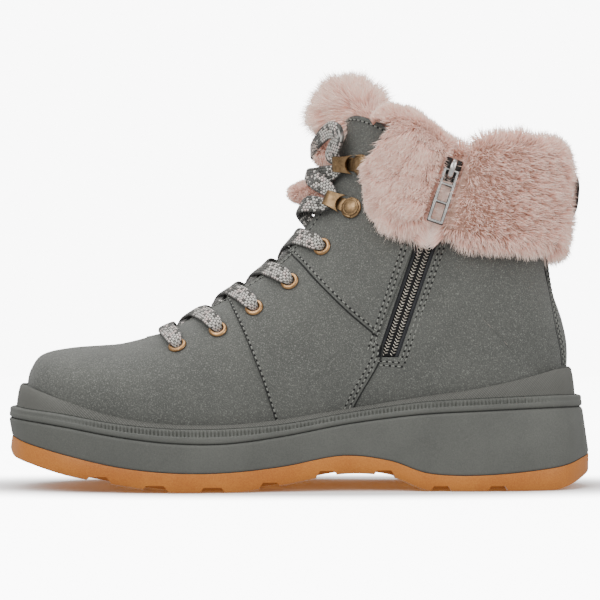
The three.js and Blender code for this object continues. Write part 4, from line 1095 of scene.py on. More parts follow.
combine(upper, form("hollow", -wall, 6, 110, 91, puckers))
combine(upper, prism("throat", throat_plan(throat_half, throat_start, throat_depth), 55, 300, "z"))
collar = curve(collar_line, 1.5)
collar_cut = [(-90, collar[0][1] - 4)] + collar + [(190, collar[-1][1]), (190, 330), (-90, 330)]
combine(upper, prism("above", collar_cut, -90, 90))
combine(upper, zip_prism("slot", zip_slot_half, zip_foot[1], 300))
for hole in holes.values():
    combine(upper, lathe("bore", [(0, -6), (2.5, -6), (2.5, 6), (0, 6)], 24, hole["place"], hole["axes"]))


def line_inner(obj, outer, inner):
    """The faces that look into the shell take the lining."""
    mesh = obj.data
    mesh.materials.clear()
    mesh.materials.append(outer)
    mesh.materials.append(inner)
    centers, facing = np.zeros((2, len(mesh.polygons) * 3))
    mesh.polygons.foreach_get("center", centers)
    mesh.polygons.foreach_get("normal", facing)
    centers = centers.reshape(-1, 3) * 1000
    row, around = skin_at(centers[:, 0], centers[:, 2], np.where(centers[:, 1] < 0, -1, 1))
    out = skin_normal(row, around)
    inward = np.einsum("ij,ij->i", facing.reshape(-1, 3), out) < -0.3
    deep = np.einsum("ij,ij->i", centers - skin_point(row, around), out) < 0.6
    mesh.polygons.foreach_set("material_index", (inward & deep).astype(int))


line_inner(upper, nubuck, lining)
finished(upper, 38, None, "nubuck", "upper")


def rand_profile(s):
    foot = s.top_inset + rand_foot
    inner = welt_inset + s.top_inset + 8
    return [(foot - 0.3, s.welt - 0.3), (foot, s.welt + 0.35), (foot + 0.3, s.welt * 0.7 + s.rand * 0.3),
            (foot + 0.9, s.welt * 0.35 + s.rand * 0.65), (foot + 1.7, s.rand - 0.9),
            (foot + 2.2, s.rand - 0.35),
            (foot + 2.6, s.rand), (foot + 3.0, s.rand - 1.0), (inner, s.rand - 1.0), (inner, s.welt - 0.3)]


rand_band = ring_solid("rand_band", rand_profile, 480, True)
combine(rand_band, whole_upper)
finished(rand_band, 35, twill, "grey_rubber", "rand")

tongue = form("tongue", -(wall + gap), 0, 120, 101)
combine(tongue, form("tongue_back", -(wall + gap + tongue_thickness), 0, 120, 101))
tongue_plan = throat_plan(throat_half + tongue_side, throat_start - tongue_side, 46)
combine(tongue, prism("tongue_plan", tongue_plan, 50, 300, "z"), "INTERSECT")
tongue_top = 1.01 * upper_height
combine(tongue, prism("tongue_end", [(-110, 40), (90, 40), (90, tongue_top), (-110, tongue_top)], -90, 90),
        "INTERSECT")
line_inner(tongue, nubuck, lining)
finished(tongue, 38, None, "nubuck", "tongue")


def insole_profile(s):
    edge = welt_inset + s.top_inset + wall + 5 * gap
    return [(edge + 1, s.parting + 2 * gap), (edge, s.parting + 1.2), (edge, s.parting + 3.2),
            (edge + 1, s.parting + 4.2), (welt_inset + s.top_inset + wall + 8, s.parting + 3.6)]


finished(ring_solid("insole_bed", insole_profile, 300), 35, felt, "felt", "insole")


# Seams, seen in the photograph's own picture points and laid on the skin
camera_distance = 1200
camera_height = 88.8
picture_scale = 0.4788


def seen(points):
    """Side view places of picture points that lie on the near side of the skin."""
    p = np.array(points, float)
    y = np.full(len(p), -30.0)
    for _ in range(3):
        s = picture_scale * (1 + y / camera_distance)
        x, z = (p[:, 0] - 300) * s, camera_height - (p[:, 1] - 300) * s
        y = skin_point(*skin_at(x, z, -1))[:, 1]
    return list(zip(x, z))


def inside(outline, x, z):
    hit = np.zeros(np.shape(x), bool)
    for (x1, z1), (x2, z2) in zip(outline, outline[1:] + outline[:1]):
        if z1 != z2:
            hit ^= ((z1 > z) != (z2 > z)) & (x < (x2 - x1) * (z - z1) / (z2 - z1) + x1)
    return hit


def panel_rise(x, z):
    """How far the panels stand at a place seen from the side."""
    return np.where(inside(shaft_panel, x, z), shaft_rise,
                    np.where(inside(middle_panel, x, z), middle_rise, 0.0))


stitch_rows, hole_shade_rows = [], []


def add_stitches(base, normal, pitch, length):
    """Stitches along a line on the leather, with dark beads of painted shade at the needle's holes between
    them.
    """
    for found, start, lift in ((stitch_rows, 0.5, 0.16), (hole_shade_rows, 1.0, 0.02)):
        at, along = walk(base, pitch, start)
        up = normal[np.argmin(((at[:, None] - base[None]) ** 2).sum(-1), axis=1)]
        found.append((at + up * lift, along, up, np.full(len(at), length)))


def sew(flat, sides=(-1,), pitch=2.8, length=1.8):
    x, z = np.asarray(flat, float).T
    for side in sides:
        add_stitches(*on_skin(x, z, side, panel_rise(x, z)), pitch, length)


def ribbon(name, flat, side, width, lift):
    """A narrow dark bar that follows the skin: painted shadow along a seam."""
    base, normal = on_skin(flat[:, 0], flat[:, 1], side, lift)
    across = np.cross(normal, unit(np.gradient(base, axis=0)))
    wide = np.full(len(base), width)
    wide[[0, -1]] *= 0.2
    rings = [base + across * (a * wide)[:, None] + normal * b
             for a, b in ((0.5, -0.6), (0.5, 0.0), (0.25, 0.12), (-0.25, 0.12), (-0.5, 0.0), (-0.5, -0.6))]
    return tube(name, np.stack(rings, 1))


def joined(name, pieces):
    """One mesh from several."""
    bm = bmesh.new()
    for piece in pieces:
        bm.from_mesh(piece.data)
        bpy.data.objects.remove(piece)
    mesh = bpy.data.meshes.new(name)
    bm.to_mesh(mesh)
    bm.free()
    obj = bpy.data.objects.new(name, mesh)
    scene.collection.objects.link(obj)
    return obj


front_edge = middle_panel[1:7]
shaft_edge = shaft_panel[1:6]
heel_edge = [(shaft_panel[5][0], shaft_panel[5][1] - 1)] + middle_panel[10:6:-1]
sew(shifted(front_edge, 0.3), both, 2.6, 1.5)
sew(shifted(shaft_edge, 1.4), both)
sew(shifted(heel_edge, -1.6), both)
sew(shifted(heel_edge, -3.6), both)
sewn_up_to = 118
zip_run = [(zip_x(z), z) for z in np.linspace(zip_foot[1] - 0.5, sewn_up_to, 40)]
sew(shifted(zip_run, zip_slot_half + 3.0))
sew(shifted(zip_run, zip_slot_half + 5.0))
for by, below in ((1.7, 1.6), (3.6, 3.4)):
    z = np.linspace(sewn_up_to, zip_foot[1] - below, 40)
    sew(np.stack([zip_x(z) + (zip_slot_half + by) * 1.05, z], 1))
for k, drop in enumerate((1.9, 3.8)):
    t = np.linspace(0, 1, 12)
    left, right = zip_foot[0] - 5.5 + k, zip_foot[0] + 5.8 + 1.6 * k
    sew(np.stack([left + (right - left) * t, zip_foot[1] - drop + 0.2 - 0.9 * t], 1))
back_line = eased(seen([(545, 266), (549, 290), (555, 325), (559.5, 345), (562, 366)]), step=1.0)
back_lines = [back_line, back_line + (1.9, 0)]
sew(back_line + (0.9, 0), both, 2.6)
sew(back_lines[1], both, 2.6)
sew(eased([(x, z - 1.9) for x, z in collar_line[:5]], step=1.0), both, 2.6)


def throat_edge(side, inset):
    """Places beside the throat's edge, from the toe end up to the collar."""
    half = throat_half + inset
    plan = [(throat_start - inset + half * (1 - math.cos(a)), side * half * math.sin(a))
            for a in np.linspace(0, math.pi / 2, 14)]
    end = plan[-1][0]
    plan += [(x, side * (half + 1.5 * (x - end) / 100)) for x in np.linspace(end + 2, 15.5, 60)]
    rows = [halve(3.0, float(last_fan), 26, lambda row: over_throat(row, y, 0)[0][0] < x) for x, y in plan]
    return zip(*[over_throat(row, y, 0) for row, (x, y) in zip(rows, plan)])


for side in both:
    base, normal = [np.array(part) for part in throat_edge(side, 1.7)]
    base = base + normal * (panel_rise(base[:, 0], base[:, 2]) + 0.02)[:, None]
    keep = base[:, 2] < 0.99 * upper_height
    add_stitches(base[keep], normal[keep], 2.8, 2.0)

at, along, up, long = [np.concatenate(part) for part in zip(*stitch_rows)]
size = np.stack([long, np.ones(len(long)), np.ones(len(long))], 1)
finished(lay_repeats("stitches", at, along, up, stitch_bead, (1, 0.66, 0.5), thread, size, spread=0.06),
         None, None, "nubuck")
# Painted shade: near-black beads at the needle holes.
at, along, up, _ = [np.concatenate(part) for part in zip(*hole_shade_rows)]
finished(lay_repeats("needle_holes", at, along, up, stitch_bead, (1.15, 0.95, 0.4), needle_hole_shade, spread=0.1),
         None, None,
         "nubuck")

# Dark bars along the seams' steps and grooves: painted shadow.
seam_shadows = []
for side in both:
    for name, edge, by, width, lift in (("seam_front", front_edge, (-0.2, 0), 0.5, 0.02),
                                        ("seam_shaft", shaft_edge, (-0.3, -0.35), 0.8, 0.92),
                                        ("seam_heel", heel_edge, (0.4, 0), 0.8, 0.02)):
        seam_shadows.append(ribbon(name, eased(edge, step=1.0) + by, side, width, lift))
    seam_shadows += [ribbon("seam_back", line, side, 0.7, 0.04) for line in back_lines]
finished(joined("seam_lines", seam_shadows), 50, seam_shadow_finish, "nubuck")


# Laces: one long flat braid over the holes, and round the hooks at the top
lace_width = 8.2
lace_thickness = 1.7
flange_height = 1.3
edge_y = throat_half + 0.6
tucked_y = throat_half - 2.4


def from_hole(side, i):
    """The lace rising out of a hole and running to the throat's edge: places, facings and widths."""
    hole = holes[side, i]
    space = holes[side, max(i, 1)]["row"] - holes[side, max(i, 1) - 1]["row"]
    forward = space * (0.26 if i == 0 else 0.44)
    top = flange_height + lace_thickness / 2
    edge = over_throat(hole["row"] - forward, side * edge_y, hole["rise"] + lace_thickness / 2 + 2 * gap)
    over, over_n = over_throat(hole["row"] - forward * 0.45, hole["y"] * 0.6 + side * edge_y * 0.4,
                               hole["rise"] + top)
    place, n = hole["place"], hole["axes"][2]
    toward = unit(over - place - n * np.dot(over - place, n))
    return [(place - n * 2.2 - toward * 0.3, -toward, 3.6),
            (place + n * 0.9 + toward * 0.4, unit(n * 0.6 - toward), 4.6),
            (place + n * (top + 0.15) + toward * 2.6, unit(n + toward * 0.1), 7.3),
            (over, over_n, lace_width),
            (*edge, lace_width)]


def crossing(start, end, rise):
    out = []
    for t in (0.2, 0.4, 0.6, 0.8):
        facing = unit(start[1] * (1 - t) + end[1] * t)
        place = start[0] * (1 - t) + end[0] * t + facing * rise * (1 - (2 * t - 1) ** 2)
        out.append((place, facing, start[2] * (1 - t) + end[2] * t))
    return out


def tuck(side, i):
    """Two places where a strand slips under the far edge, just above hole i."""
    low = holes[side, i]["row"]
    row = low + 0.02 * (holes[side, i + 1]["row"] - low if i < 4 else 1)
    return [(*over_throat(row, side * tucked_y, -0.9), 6.6),
            (*over_throat(row, side * (throat_half + 3.5), -3.0), 6.0)]


half_section = [(-0.47, 0.28), (-0.36, 0.46), (-0.18, 0.5), (0.0, 0.5), (0.18, 0.5), (0.36, 0.46),
                (0.47, 0.28)]
braid_section = np.array([(-0.5, 0.0)] + half_section
                         + [(0.5, 0.0), (0.47, -0.28), (0.36, -0.46), (0.0, -0.5),
                                                         (-0.36, -0.46), (-0.47, -0.28)])


def strand(name, controls, thickness=lace_thickness):
    """A flat braid through control places, with its own map along and across, in metres."""
    table = np.array([np.concatenate([p, f, [w]]) for p, f, w in controls], float)
    fine = spline(open_ends(table), np.linspace(0, len(table) - 1, (len(table) - 1) * 10 + 1))
    at, facing, width = fine[:, :3], unit(fine[:, 3:6]), fine[:, 6:]
    along = unit(np.gradient(at, axis=0))
    across = unit(np.cross(facing, along))
    up = np.cross(along, across)
    run = np.concatenate([[0], np.cumsum(np.linalg.norm(np.diff(at, axis=0), axis=1))])
    thick = thickness * np.clip(1.0 + (lace_width - width) * 0.09, 1.0, 1.45)
    a, b = braid_section.T
    rings = at[:, None] + across[:, None] * (a * width)[..., None] + up[:, None] * (b * thick)[..., None]
    uv = np.stack(np.broadcast_arrays(run[:, None] * 0.001, (a + 0.5) * braid_map), -1)
    return tube(name, rings, 0, uv.reshape(-1, 2))


near_bar, far_bar = from_hole(-1, 0), from_hole(1, 0)
strands = [strand("lace_bar", near_bar + crossing(near_bar[-1], far_bar[-1], 1.6) + far_bar[::-1])]
for i in (1, 2, 3, 4):
    for side in both:
        start, end = from_hole(side, i), tuck(-side, i - 1)
        strands.append(strand("lace_cross", start + crossing(start[-1], end[0], 1.9 if side < 0 else 0.5)
                              + end))

# The turn under a hook's lip: past the lip, across, out and width, from one side to the middle
hook_turn = [(7.0, -5.4, 1.2, 8.2), (1.0, -4.2, 2.4, 7.4), (-2.8, -2.4, 2.4, 5.2), (-3.8, 0, 2.3, 4.2)]
hook_turn += [(ahead, -across, high, width) for ahead, across, high, width in hook_turn[2::-1]]


def round_hook(side, i):
    hook = hooks[side, i]
    n = hook["axes"][2]
    throat_facing = over_throat(float(skin_at(*hook["lip"], side)[0]), side * throat_half, 0)[1]
    return [(put_at((hook["reach"] + ahead, side * across, high), hook["place"], hook["axes"]),
             unit(throat_facing * 0.5 + n) if width == 8.2 else n, width)
            for ahead, across, high, width in hook_turn]


arch_rows = [(0.066, -0.275, 0.975), (0.052, -0.215, 0.992), (0.034, -0.12, 0.972), (0.021, 0, 0.942)]
arch_rows += [(x, -y, z) for x, y, z in arch_rows[2::-1]]
arch = []
for x, y, z in arch_rows:
    place = np.array([x * sole_length, y * ball_width, z * upper_height])
    arch.append((place, unit(place - np.array([shaft_x, 0, place[2]])), 8.4))
chain = []
for side, first_lift, second_lift in ((-1, 5.6, 5.2), (1, 4.0, 7.0)):
    low_turn, high_turn = round_hook(side, 0), round_hook(-side, 1)
    start = tuck(-side, 4)[::-1]
    chain.append(start + crossing(start[-1], low_turn[0], first_lift) + low_turn
                 + crossing(low_turn[-1], high_turn[0], second_lift) + high_turn[:-1])
strands.append(strand("lace_top", chain[0] + arch[::-1] + chain[1][::-1], 1.9))
finished(joined("laces", strands), 50, lace_weave, "lace_cord", *[f"lace_{k}" for k in range(1, 9)])


# Eyelets and hooks
ring_profile = [(2.05, -2.0), (2.35, -2.0), (2.45, 0.05), (4.25, 0.05), (4.42, 0.28), (4.36, 0.62),
                (4.08, 0.98), (3.65, 1.22),
                (3.2, 1.3), (2.75, 1.2), (2.38, 0.9), (2.15, 0.4), (2.05, -0.4)]
rings = [lathe("ring", ring_profile, 32, h["place"], h["axes"], True) for h in holes.values()]
finished(joined("eyelets", rings), 50, copper, "eyelet_metal",
         *[f"eyelet_{side_names[side]}_{i + 1}" for side, i in holes])


def bar(points, name, place, axes, widths, thickness, bevel=0.22):
    """A strip of metal bent along a line of the frame's along and out, of a width at each place."""
    line = np.array(points, float)
    d = unit(np.gradient(line, axis=0))
    rings = []
    for (along, out), (da, do), width in zip(line, d, widths):
        w = width / 2
        for a, b in ((-w, -0.2), (-w, 0.2), (-w + bevel, 0.5), (w - bevel, 0.5), (w, 0.2), (w, -0.2),
                     (w - bevel, -0.5),
                     (-w + bevel, -0.5)):
            rings.append((along - do * b * thickness, a, out + da * b * thickness))
    return tube(name, put_at(np.reshape(rings, (-1, 8, 3)), place, axes), 1e-7)


def lace_hook(hook):
    """A plate and a rivet, with a band that rises round them and curls under at the lip."""
    place, axes, reach = hook["place"], hook["axes"], hook["reach"]
    base = lathe("plate", [(0, 0.05), (4.9, 0.05), (5.1, 0.3), (5.0, 0.75), (4.7, 0.95), (0, 0.95)], 40,
                 place, axes)
    shank = bar([(2, 0.5), (reach - 4, 0.5), (reach - 2, 0.55), (reach - 0.9, 1.0), (reach - 0.4, 1.9)],
                "shank", place,
                axes, [6.4, 6.2, 6.4, 6.6, 6.6], 0.8)
    curl = [(-1.6, 1.0), (2.0, 1.5), (4.0, 2.2), (6.2, 2.9), (8.2, 3.45), (reach - 3.2, 3.9),
            (reach - 1.6, 3.9),
            (reach - 0.55, 3.4), (reach - 0.1, 2.6), (reach - 0.25, 1.8), (reach - 0.6, 1.3)]
    band = bar(curl, "band", place, axes, [9.6, 9.4, 9.0, 8.4, 7.8, 7.4, 7.2, 7.1, 7.0, 6.8, 6.6], 0.85)
    combine(band, lathe("room", [(0, -2), (4.6, -2), (4.6, 9), (0, 9)], 40, place + axes[0] * 2.5, axes))
    rivet = lathe("rivet", [(0, 0.9), (3.95, 0.9), (4.1, 1.15), (4.05, 1.6), (3.8, 1.82), (3.5, 1.86),
                            (3.3, 1.78), (3.1, 1.9),
                            (2.4, 2.16), (1.3, 2.3), (0, 2.34)], 40, place, axes)
    return [base, shank, band, rivet]


hook_parts = [piece for hook in hooks.values() for piece in lace_hook(hook)]
finished(joined("lace_hooks", hook_parts), 40, brass, "hook_metal",
         *[f"hook_{side_names[side]}_{i + 1}" for side, i in hooks])


# Zip: two rows of coil turns, tape with pressed edges, slider and its plain ladder pull
slider_z = 0.876 * upper_height
turn_pitch = 1.45
run = np.arange(zip_foot[1] + 1.2, slider_z - 3, turn_pitch / zip_wider)
turns = []
for off, tilt, later, lift in ((-2.35, 0.6, 0, -0.95), (-1.3, -0.6, 0.5, -0.7), (1.3, 0.6, 0, -0.7),
                               (2.35, -0.6, 0.5, -0.95)):
    z = run + later * turn_pitch
    base, normal = on_skin(zip_x(z) + off * zip_wider * 0.97, z, -1, lift)
    lengthwise = unit(np.stack([np.full(len(z), zip_lean), 0 * z, np.ones(len(z))], 1))
    lengthwise = unit(lengthwise - normal * np.einsum("ij,ij->i", lengthwise, normal)[:, None])
    turns.append((base, unit(np.cross(normal, lengthwise) + lengthwise * tilt), normal))
at, along, up = [np.vstack(part) for part in zip(*turns)]
finished(lay_repeats("coil_turns", at, along, up, tooth_bead, (1.55, 0.56, 0.6), coil, spread=0.04), None,
         None, "zip_coil")


def zip_strip(name, low_off, high_off, lift, thick, low_z, high_z):
    """A strip beside or under the coil, following the skin up the zip."""
    z, off = np.meshgrid(np.linspace(low_z, high_z, 70), np.linspace(low_off, high_off, 7), indexing="ij")
    crown = lift + 0.25 * np.sin((off - low_off) / (high_off - low_off) * math.pi)
    top, normal = on_skin(zip_x(z) + off * zip_wider, z, -1, crown)
    under = top - normal * thick
    uv = np.stack([z, off], -1) * 0.001
    return tube(name, np.hstack([top, under[:, ::-1]]), uv=np.hstack([uv, uv[:, ::-1]]).reshape(-1, 2))


low_end = zip_foot[1] + 0.2
guards = [zip_strip("guard", low, high, -0.75, 0.7, low_end, slider_z + 3) for low,
          high in ((-5.15, -3.3), (3.3, 5.15))]
finished(joined("zip_guards", guards), 35, tape_cloth, "zip_fabric")
bed = zip_strip("coil_bed", -3.35, 3.35, -1.55, 0.6, low_end + 0.4, slider_z - 2)
finished(bed, 35, coil_shade, "zip_coil", "zip_teeth")
tape = frame["nodes"]["zip_tape"]
tape.data.materials.clear()
tape.data.materials.append(tape_cloth)


def bevelled(obj, width, segments):
    mod = obj.modifiers.new("bevel", "BEVEL")
    mod.width = width * 0.001
    mod.segments = segments
    mod.limit_method = "ANGLE"
    mod.angle_limit = math.radians(30)
    bpy.context.view_layer.update()
    return settled(obj)


def rounded(half_a, half_b, r, middle):
    """A rectangle with round corners, its middle further along."""
    out = []
    for sa, sb, start in ((1, 1, 0), (-1, 1, 90), (-1, -1, 180), (1, -1, 270)):
        for k in range(6):
            a = math.radians(start + 90 * k / 5)
            out.append((sa * (half_a - r) + r * math.cos(a), middle + sb * (half_b - r) + r * math.sin(a)))
    return out


slider_place, slider_axes = basis_at(zip_x(slider_z), slider_z, -1, 0, (zip_x(slider_z + 15), slider_z + 15))
slider_top = 1.9
slider_half = [(-5.5, -2.7), (-5.1, -3.1), (1, -4.1), (5, -4.1), (5.6, -3.4)]
slider_outline = slider_half + [(a, -b) for a, b in slider_half[::-1]]
# The slider's plate in dark nickel: painted shade under its bright bail.
slider = prism("slider_plate", slider_outline, -0.1, slider_top, "z", slider_place, slider_axes)
finished(bevelled(slider, 0.45, 3), 40, shaded_nickel, "nickel", "zip_slider")
arc = [(-3.3, slider_top - 0.4), (-3.25, 3.4), (-2.7, 4.6), (-1.7, 5.0), (0, 5.05), (2.2, 4.9), (4.0, 4.4),
       (5.0, 3.3),
       (5.1, slider_top - 0.4)]
finished(bar(arc, "bail", slider_place, slider_axes, [2.5] * len(arc), 0.85, 0.3), 40, nickel, "nickel")

pull_length, pull_half, pull_stock, frame_bar, eye_end = 26, 3.9, 1.3, 1.6, 0.65
tilt = math.radians(12)
hang = np.array([[0, 1, 0], [-math.cos(tilt), 0, math.sin(tilt)],
                 [math.sin(tilt), 0, math.cos(tilt)]]) @ slider_axes
pin = slider_place + slider_axes[2] * (slider_top + 4.25) / 2
# The pull: a dark nickel back under a bright nickel face set a little in from its edges, so the dark rim is
# painted shade.
for name, spare, low_level, high_level, look, nodes in (
        ("pull", 0.0, -pull_stock / 2, 0.1, shaded_nickel, ["zip_pull"]),
        ("pull_face", 0.32, 0.1, pull_stock / 2, nickel, [])):
    outline = rounded(pull_half - spare, (pull_length + eye_end) / 2 - spare, 0.6,
                      (pull_length - eye_end) / 2)
    plate = prism(name, outline, low_level, high_level, "z", pin, hang)
    for low, high in ((eye_end, 6.4), (7.7, 15.1), (16.4, pull_length - frame_bar)):
        window = rounded(pull_half - frame_bar + spare, (high - low) / 2 + spare, 0.3, (low + high) / 2)
        combine(plate, prism("window", window, -3, 3, "z", pin, hang))
    finished(bevelled(plate, 0.12, 2), 40, look, "nickel", *nodes, body=PULL)


# Fur, laid round the shaft by angle: 0 at the front, 90 on the near side, 180 at the back
girth_low, girth_high, girth_steps = 92, 190, 25


def within(x, y, z):
    """Whether a place is inside the skin."""
    row, around = skin_at(x, z, np.where(y < 0, -1, 1))
    f = spline(fan_rows, row)
    dx, dz = f[..., 2] - f[..., 0], f[..., 3] - f[..., 1]
    share = ((x - f[..., 0]) * dx + (z - f[..., 1]) * dz) / (dx * dx + dz * dz)
    return (share > 0) & (share < 1) & (np.abs(y) < np.abs(skin_point(row, around)[..., 1]))


turn, height = np.meshgrid(np.radians(np.linspace(0, 360, 121)),
                           np.linspace(girth_low, girth_high, girth_steps + 1),
                           indexing="ij")
girths = halve(np.full(turn.shape, 5.0), np.full(turn.shape, 95.0), 14,
               lambda r: within(shaft_x - r * np.cos(turn), -r * np.sin(turn), height))


def around_shaft(degrees, out, z):
    degrees, out, z = np.broadcast_arrays(np.asarray(degrees, float), out, z)
    a = np.mod(degrees, 360) / 3
    i = np.clip(a.astype(int), 0, 119)
    h = np.clip((z - girth_low) / ((girth_high - girth_low) / girth_steps), 0, girth_steps - 0.001)
    j = h.astype(int)
    fa, fh = a - i, h - j
    below = girths[i, j] * (1 - fa) + girths[i + 1, j] * fa
    above = girths[i, j + 1] * (1 - fa) + girths[i + 1, j + 1] * fa
    r = below * (1 - fh) + above * fh + out
    return np.stack([shaft_x - r * np.cos(np.radians(degrees)), -r * np.sin(np.radians(degrees)), z], -1)


# The cuff's section as out and up, then its stations: angle, foot, top, thickness
cuff_section = np.array([
    [-0.12, 0.03], [0.5, 0], [0.86, 0.1], [0.98, 0.3], [0.97, 0.55], [0.88, 0.78], [0.55, 0.95],
    [0.08, 1], [-0.4, 0.96], [-0.66, 0.82], [-0.68, 0.6], [-0.42, 0.5], [-0.12, 0.56],
])
cuff_table = np.array([
    [34, 0.8, 0.93, 0.25], [40, 0.745, 1.02, 0.66], [50, 0.71, 1.075, 0.95], [62, 0.695, 1.065, 1.02],
    [76, 0.69, 1.03, 0.98], [90, 0.68, 0.98, 0.92], [102, 0.65, 0.978, 1.04], [122, 0.64, 0.998, 1.1],
    [150, 0.635, 0.992, 1.08], [180, 0.63, 0.98, 1.03], [210, 0.635, 0.985, 1.03], [238, 0.64, 0.985, 1.04],
    [262, 0.66, 1, 1], [284, 0.68, 1.04, 0.98], [300, 0.7, 1.065, 1], [310, 0.71, 1.07, 0.92],
    [320, 0.745, 1.02, 0.66], [326, 0.8, 0.93, 0.25],
])
cuff_rows = open_ends(cuff_table)
section_rows = np.vstack([cuff_section[-1], cuff_section, cuff_section[:2]])


def cuff_at(place, q, share):
    """A place in the cuff: along it, round its section, and from its middle (0) to its outside (1)."""
    c = spline(cuff_rows, place)
    s = spline(section_rows, np.mod(q, 13))
    thick = c[..., 3] * fur_pile
    out = np.where(s[..., 0] > 0, s[..., 0] * thick, s[..., 0] * fur_pile)
    mid_out = 0.12 * thick
    mid_up = np.clip(s[..., 1], 0.2, 0.8)
    up = mid_up + (s[..., 1] - mid_up) * share
    return around_shaft(c[..., 0], mid_out + (out - mid_out) * share,
                        (c[..., 1] + (c[..., 2] - c[..., 1]) * up) * upper_height)


# The roll over the tongue: angle, out, up, width, height
roll_half = [[-29, -0.75, 1.0, 0.3, 0.3], [-26, -0.66, 1.02, 0.55, 0.6], [-19, -0.5, 1.04, 0.85, 0.95],
             [-10, -0.3, 1.05, 1.15, 1.08]]
roll_table = roll_half + [[0, -0.2, 1.053, 1.27, 1.12]] + [[-row[0]] + row[1:] for row in roll_half[::-1]]
roll_rows = open_ends(np.array(roll_table))


def roll_at(place, q, share):
    r = spline(roll_rows, place)
    turn = q * 2 * math.pi / 12
    tall = np.where(np.sin(turn) > 0, 1.26, 0.98) * r[..., 4]
    out = (r[..., 1] - 0.08) * fur_pile + r[..., 3] * 1.22 * fur_pile * share * np.cos(turn)
    return around_shaft(r[..., 0], out, r[..., 2] * upper_height + tall * fur_pile * share * np.sin(turn))


def ball_at(centre, radii):
    """Places on a ball of fur, found as they are on the longer forms."""
    def at(place, q, share):
        a = place / 8 * math.pi
        b = q * 2 * math.pi / 12
        ball = np.stack([-np.cos(a), np.sin(a) * np.cos(b), np.sin(a) * np.sin(b)], -1)
        return np.array(centre) + ball * np.array(radii) * share
    return at


tuft_at = ball_at([0.0135 * sole_length, 0, 0.823 * upper_height],
                  [0.92 * fur_pile, 0.6 * fur_pile, 0.54 * fur_pile])
front_at = ball_at([12.5, 0, 160.5], [7.5, 15.0, 9.0])


def from_corner(p):
    """How far a place is behind the near lobe's sloping front edge; above the tab the fur goes on."""
    x, z = p[..., 0], p[..., 2]
    below_tab = (p[..., 1] < 0) & (z < 177.3 - (x - 25) * 0.32)
    return np.where(below_tab, ((x - 28.2) * 18.6 - (z - 151.7) * 12.6) / 22.5, 99)


def grows(p, back):
    """Whether fur grows at a place of the lobe or of the cuff's back: off the zip, behind the corner."""
    off = p[..., 0] - zip_x(p[..., 2])
    own_side = off >= 0 if back else off <= 0
    off_zip = (p[..., 1] >= 0) | ((np.abs(off) >= (zip_slot_half + 0.3) * zip_wider) & own_side)
    return off_zip & (from_corner(p) > 0)


def above_floor(p):
    return p[..., 2] > 0


def fur_core(name, at, places, turns, share):
    p, q = np.meshgrid(places, turns, indexing="ij")
    return tube(name, at(p, q, share))


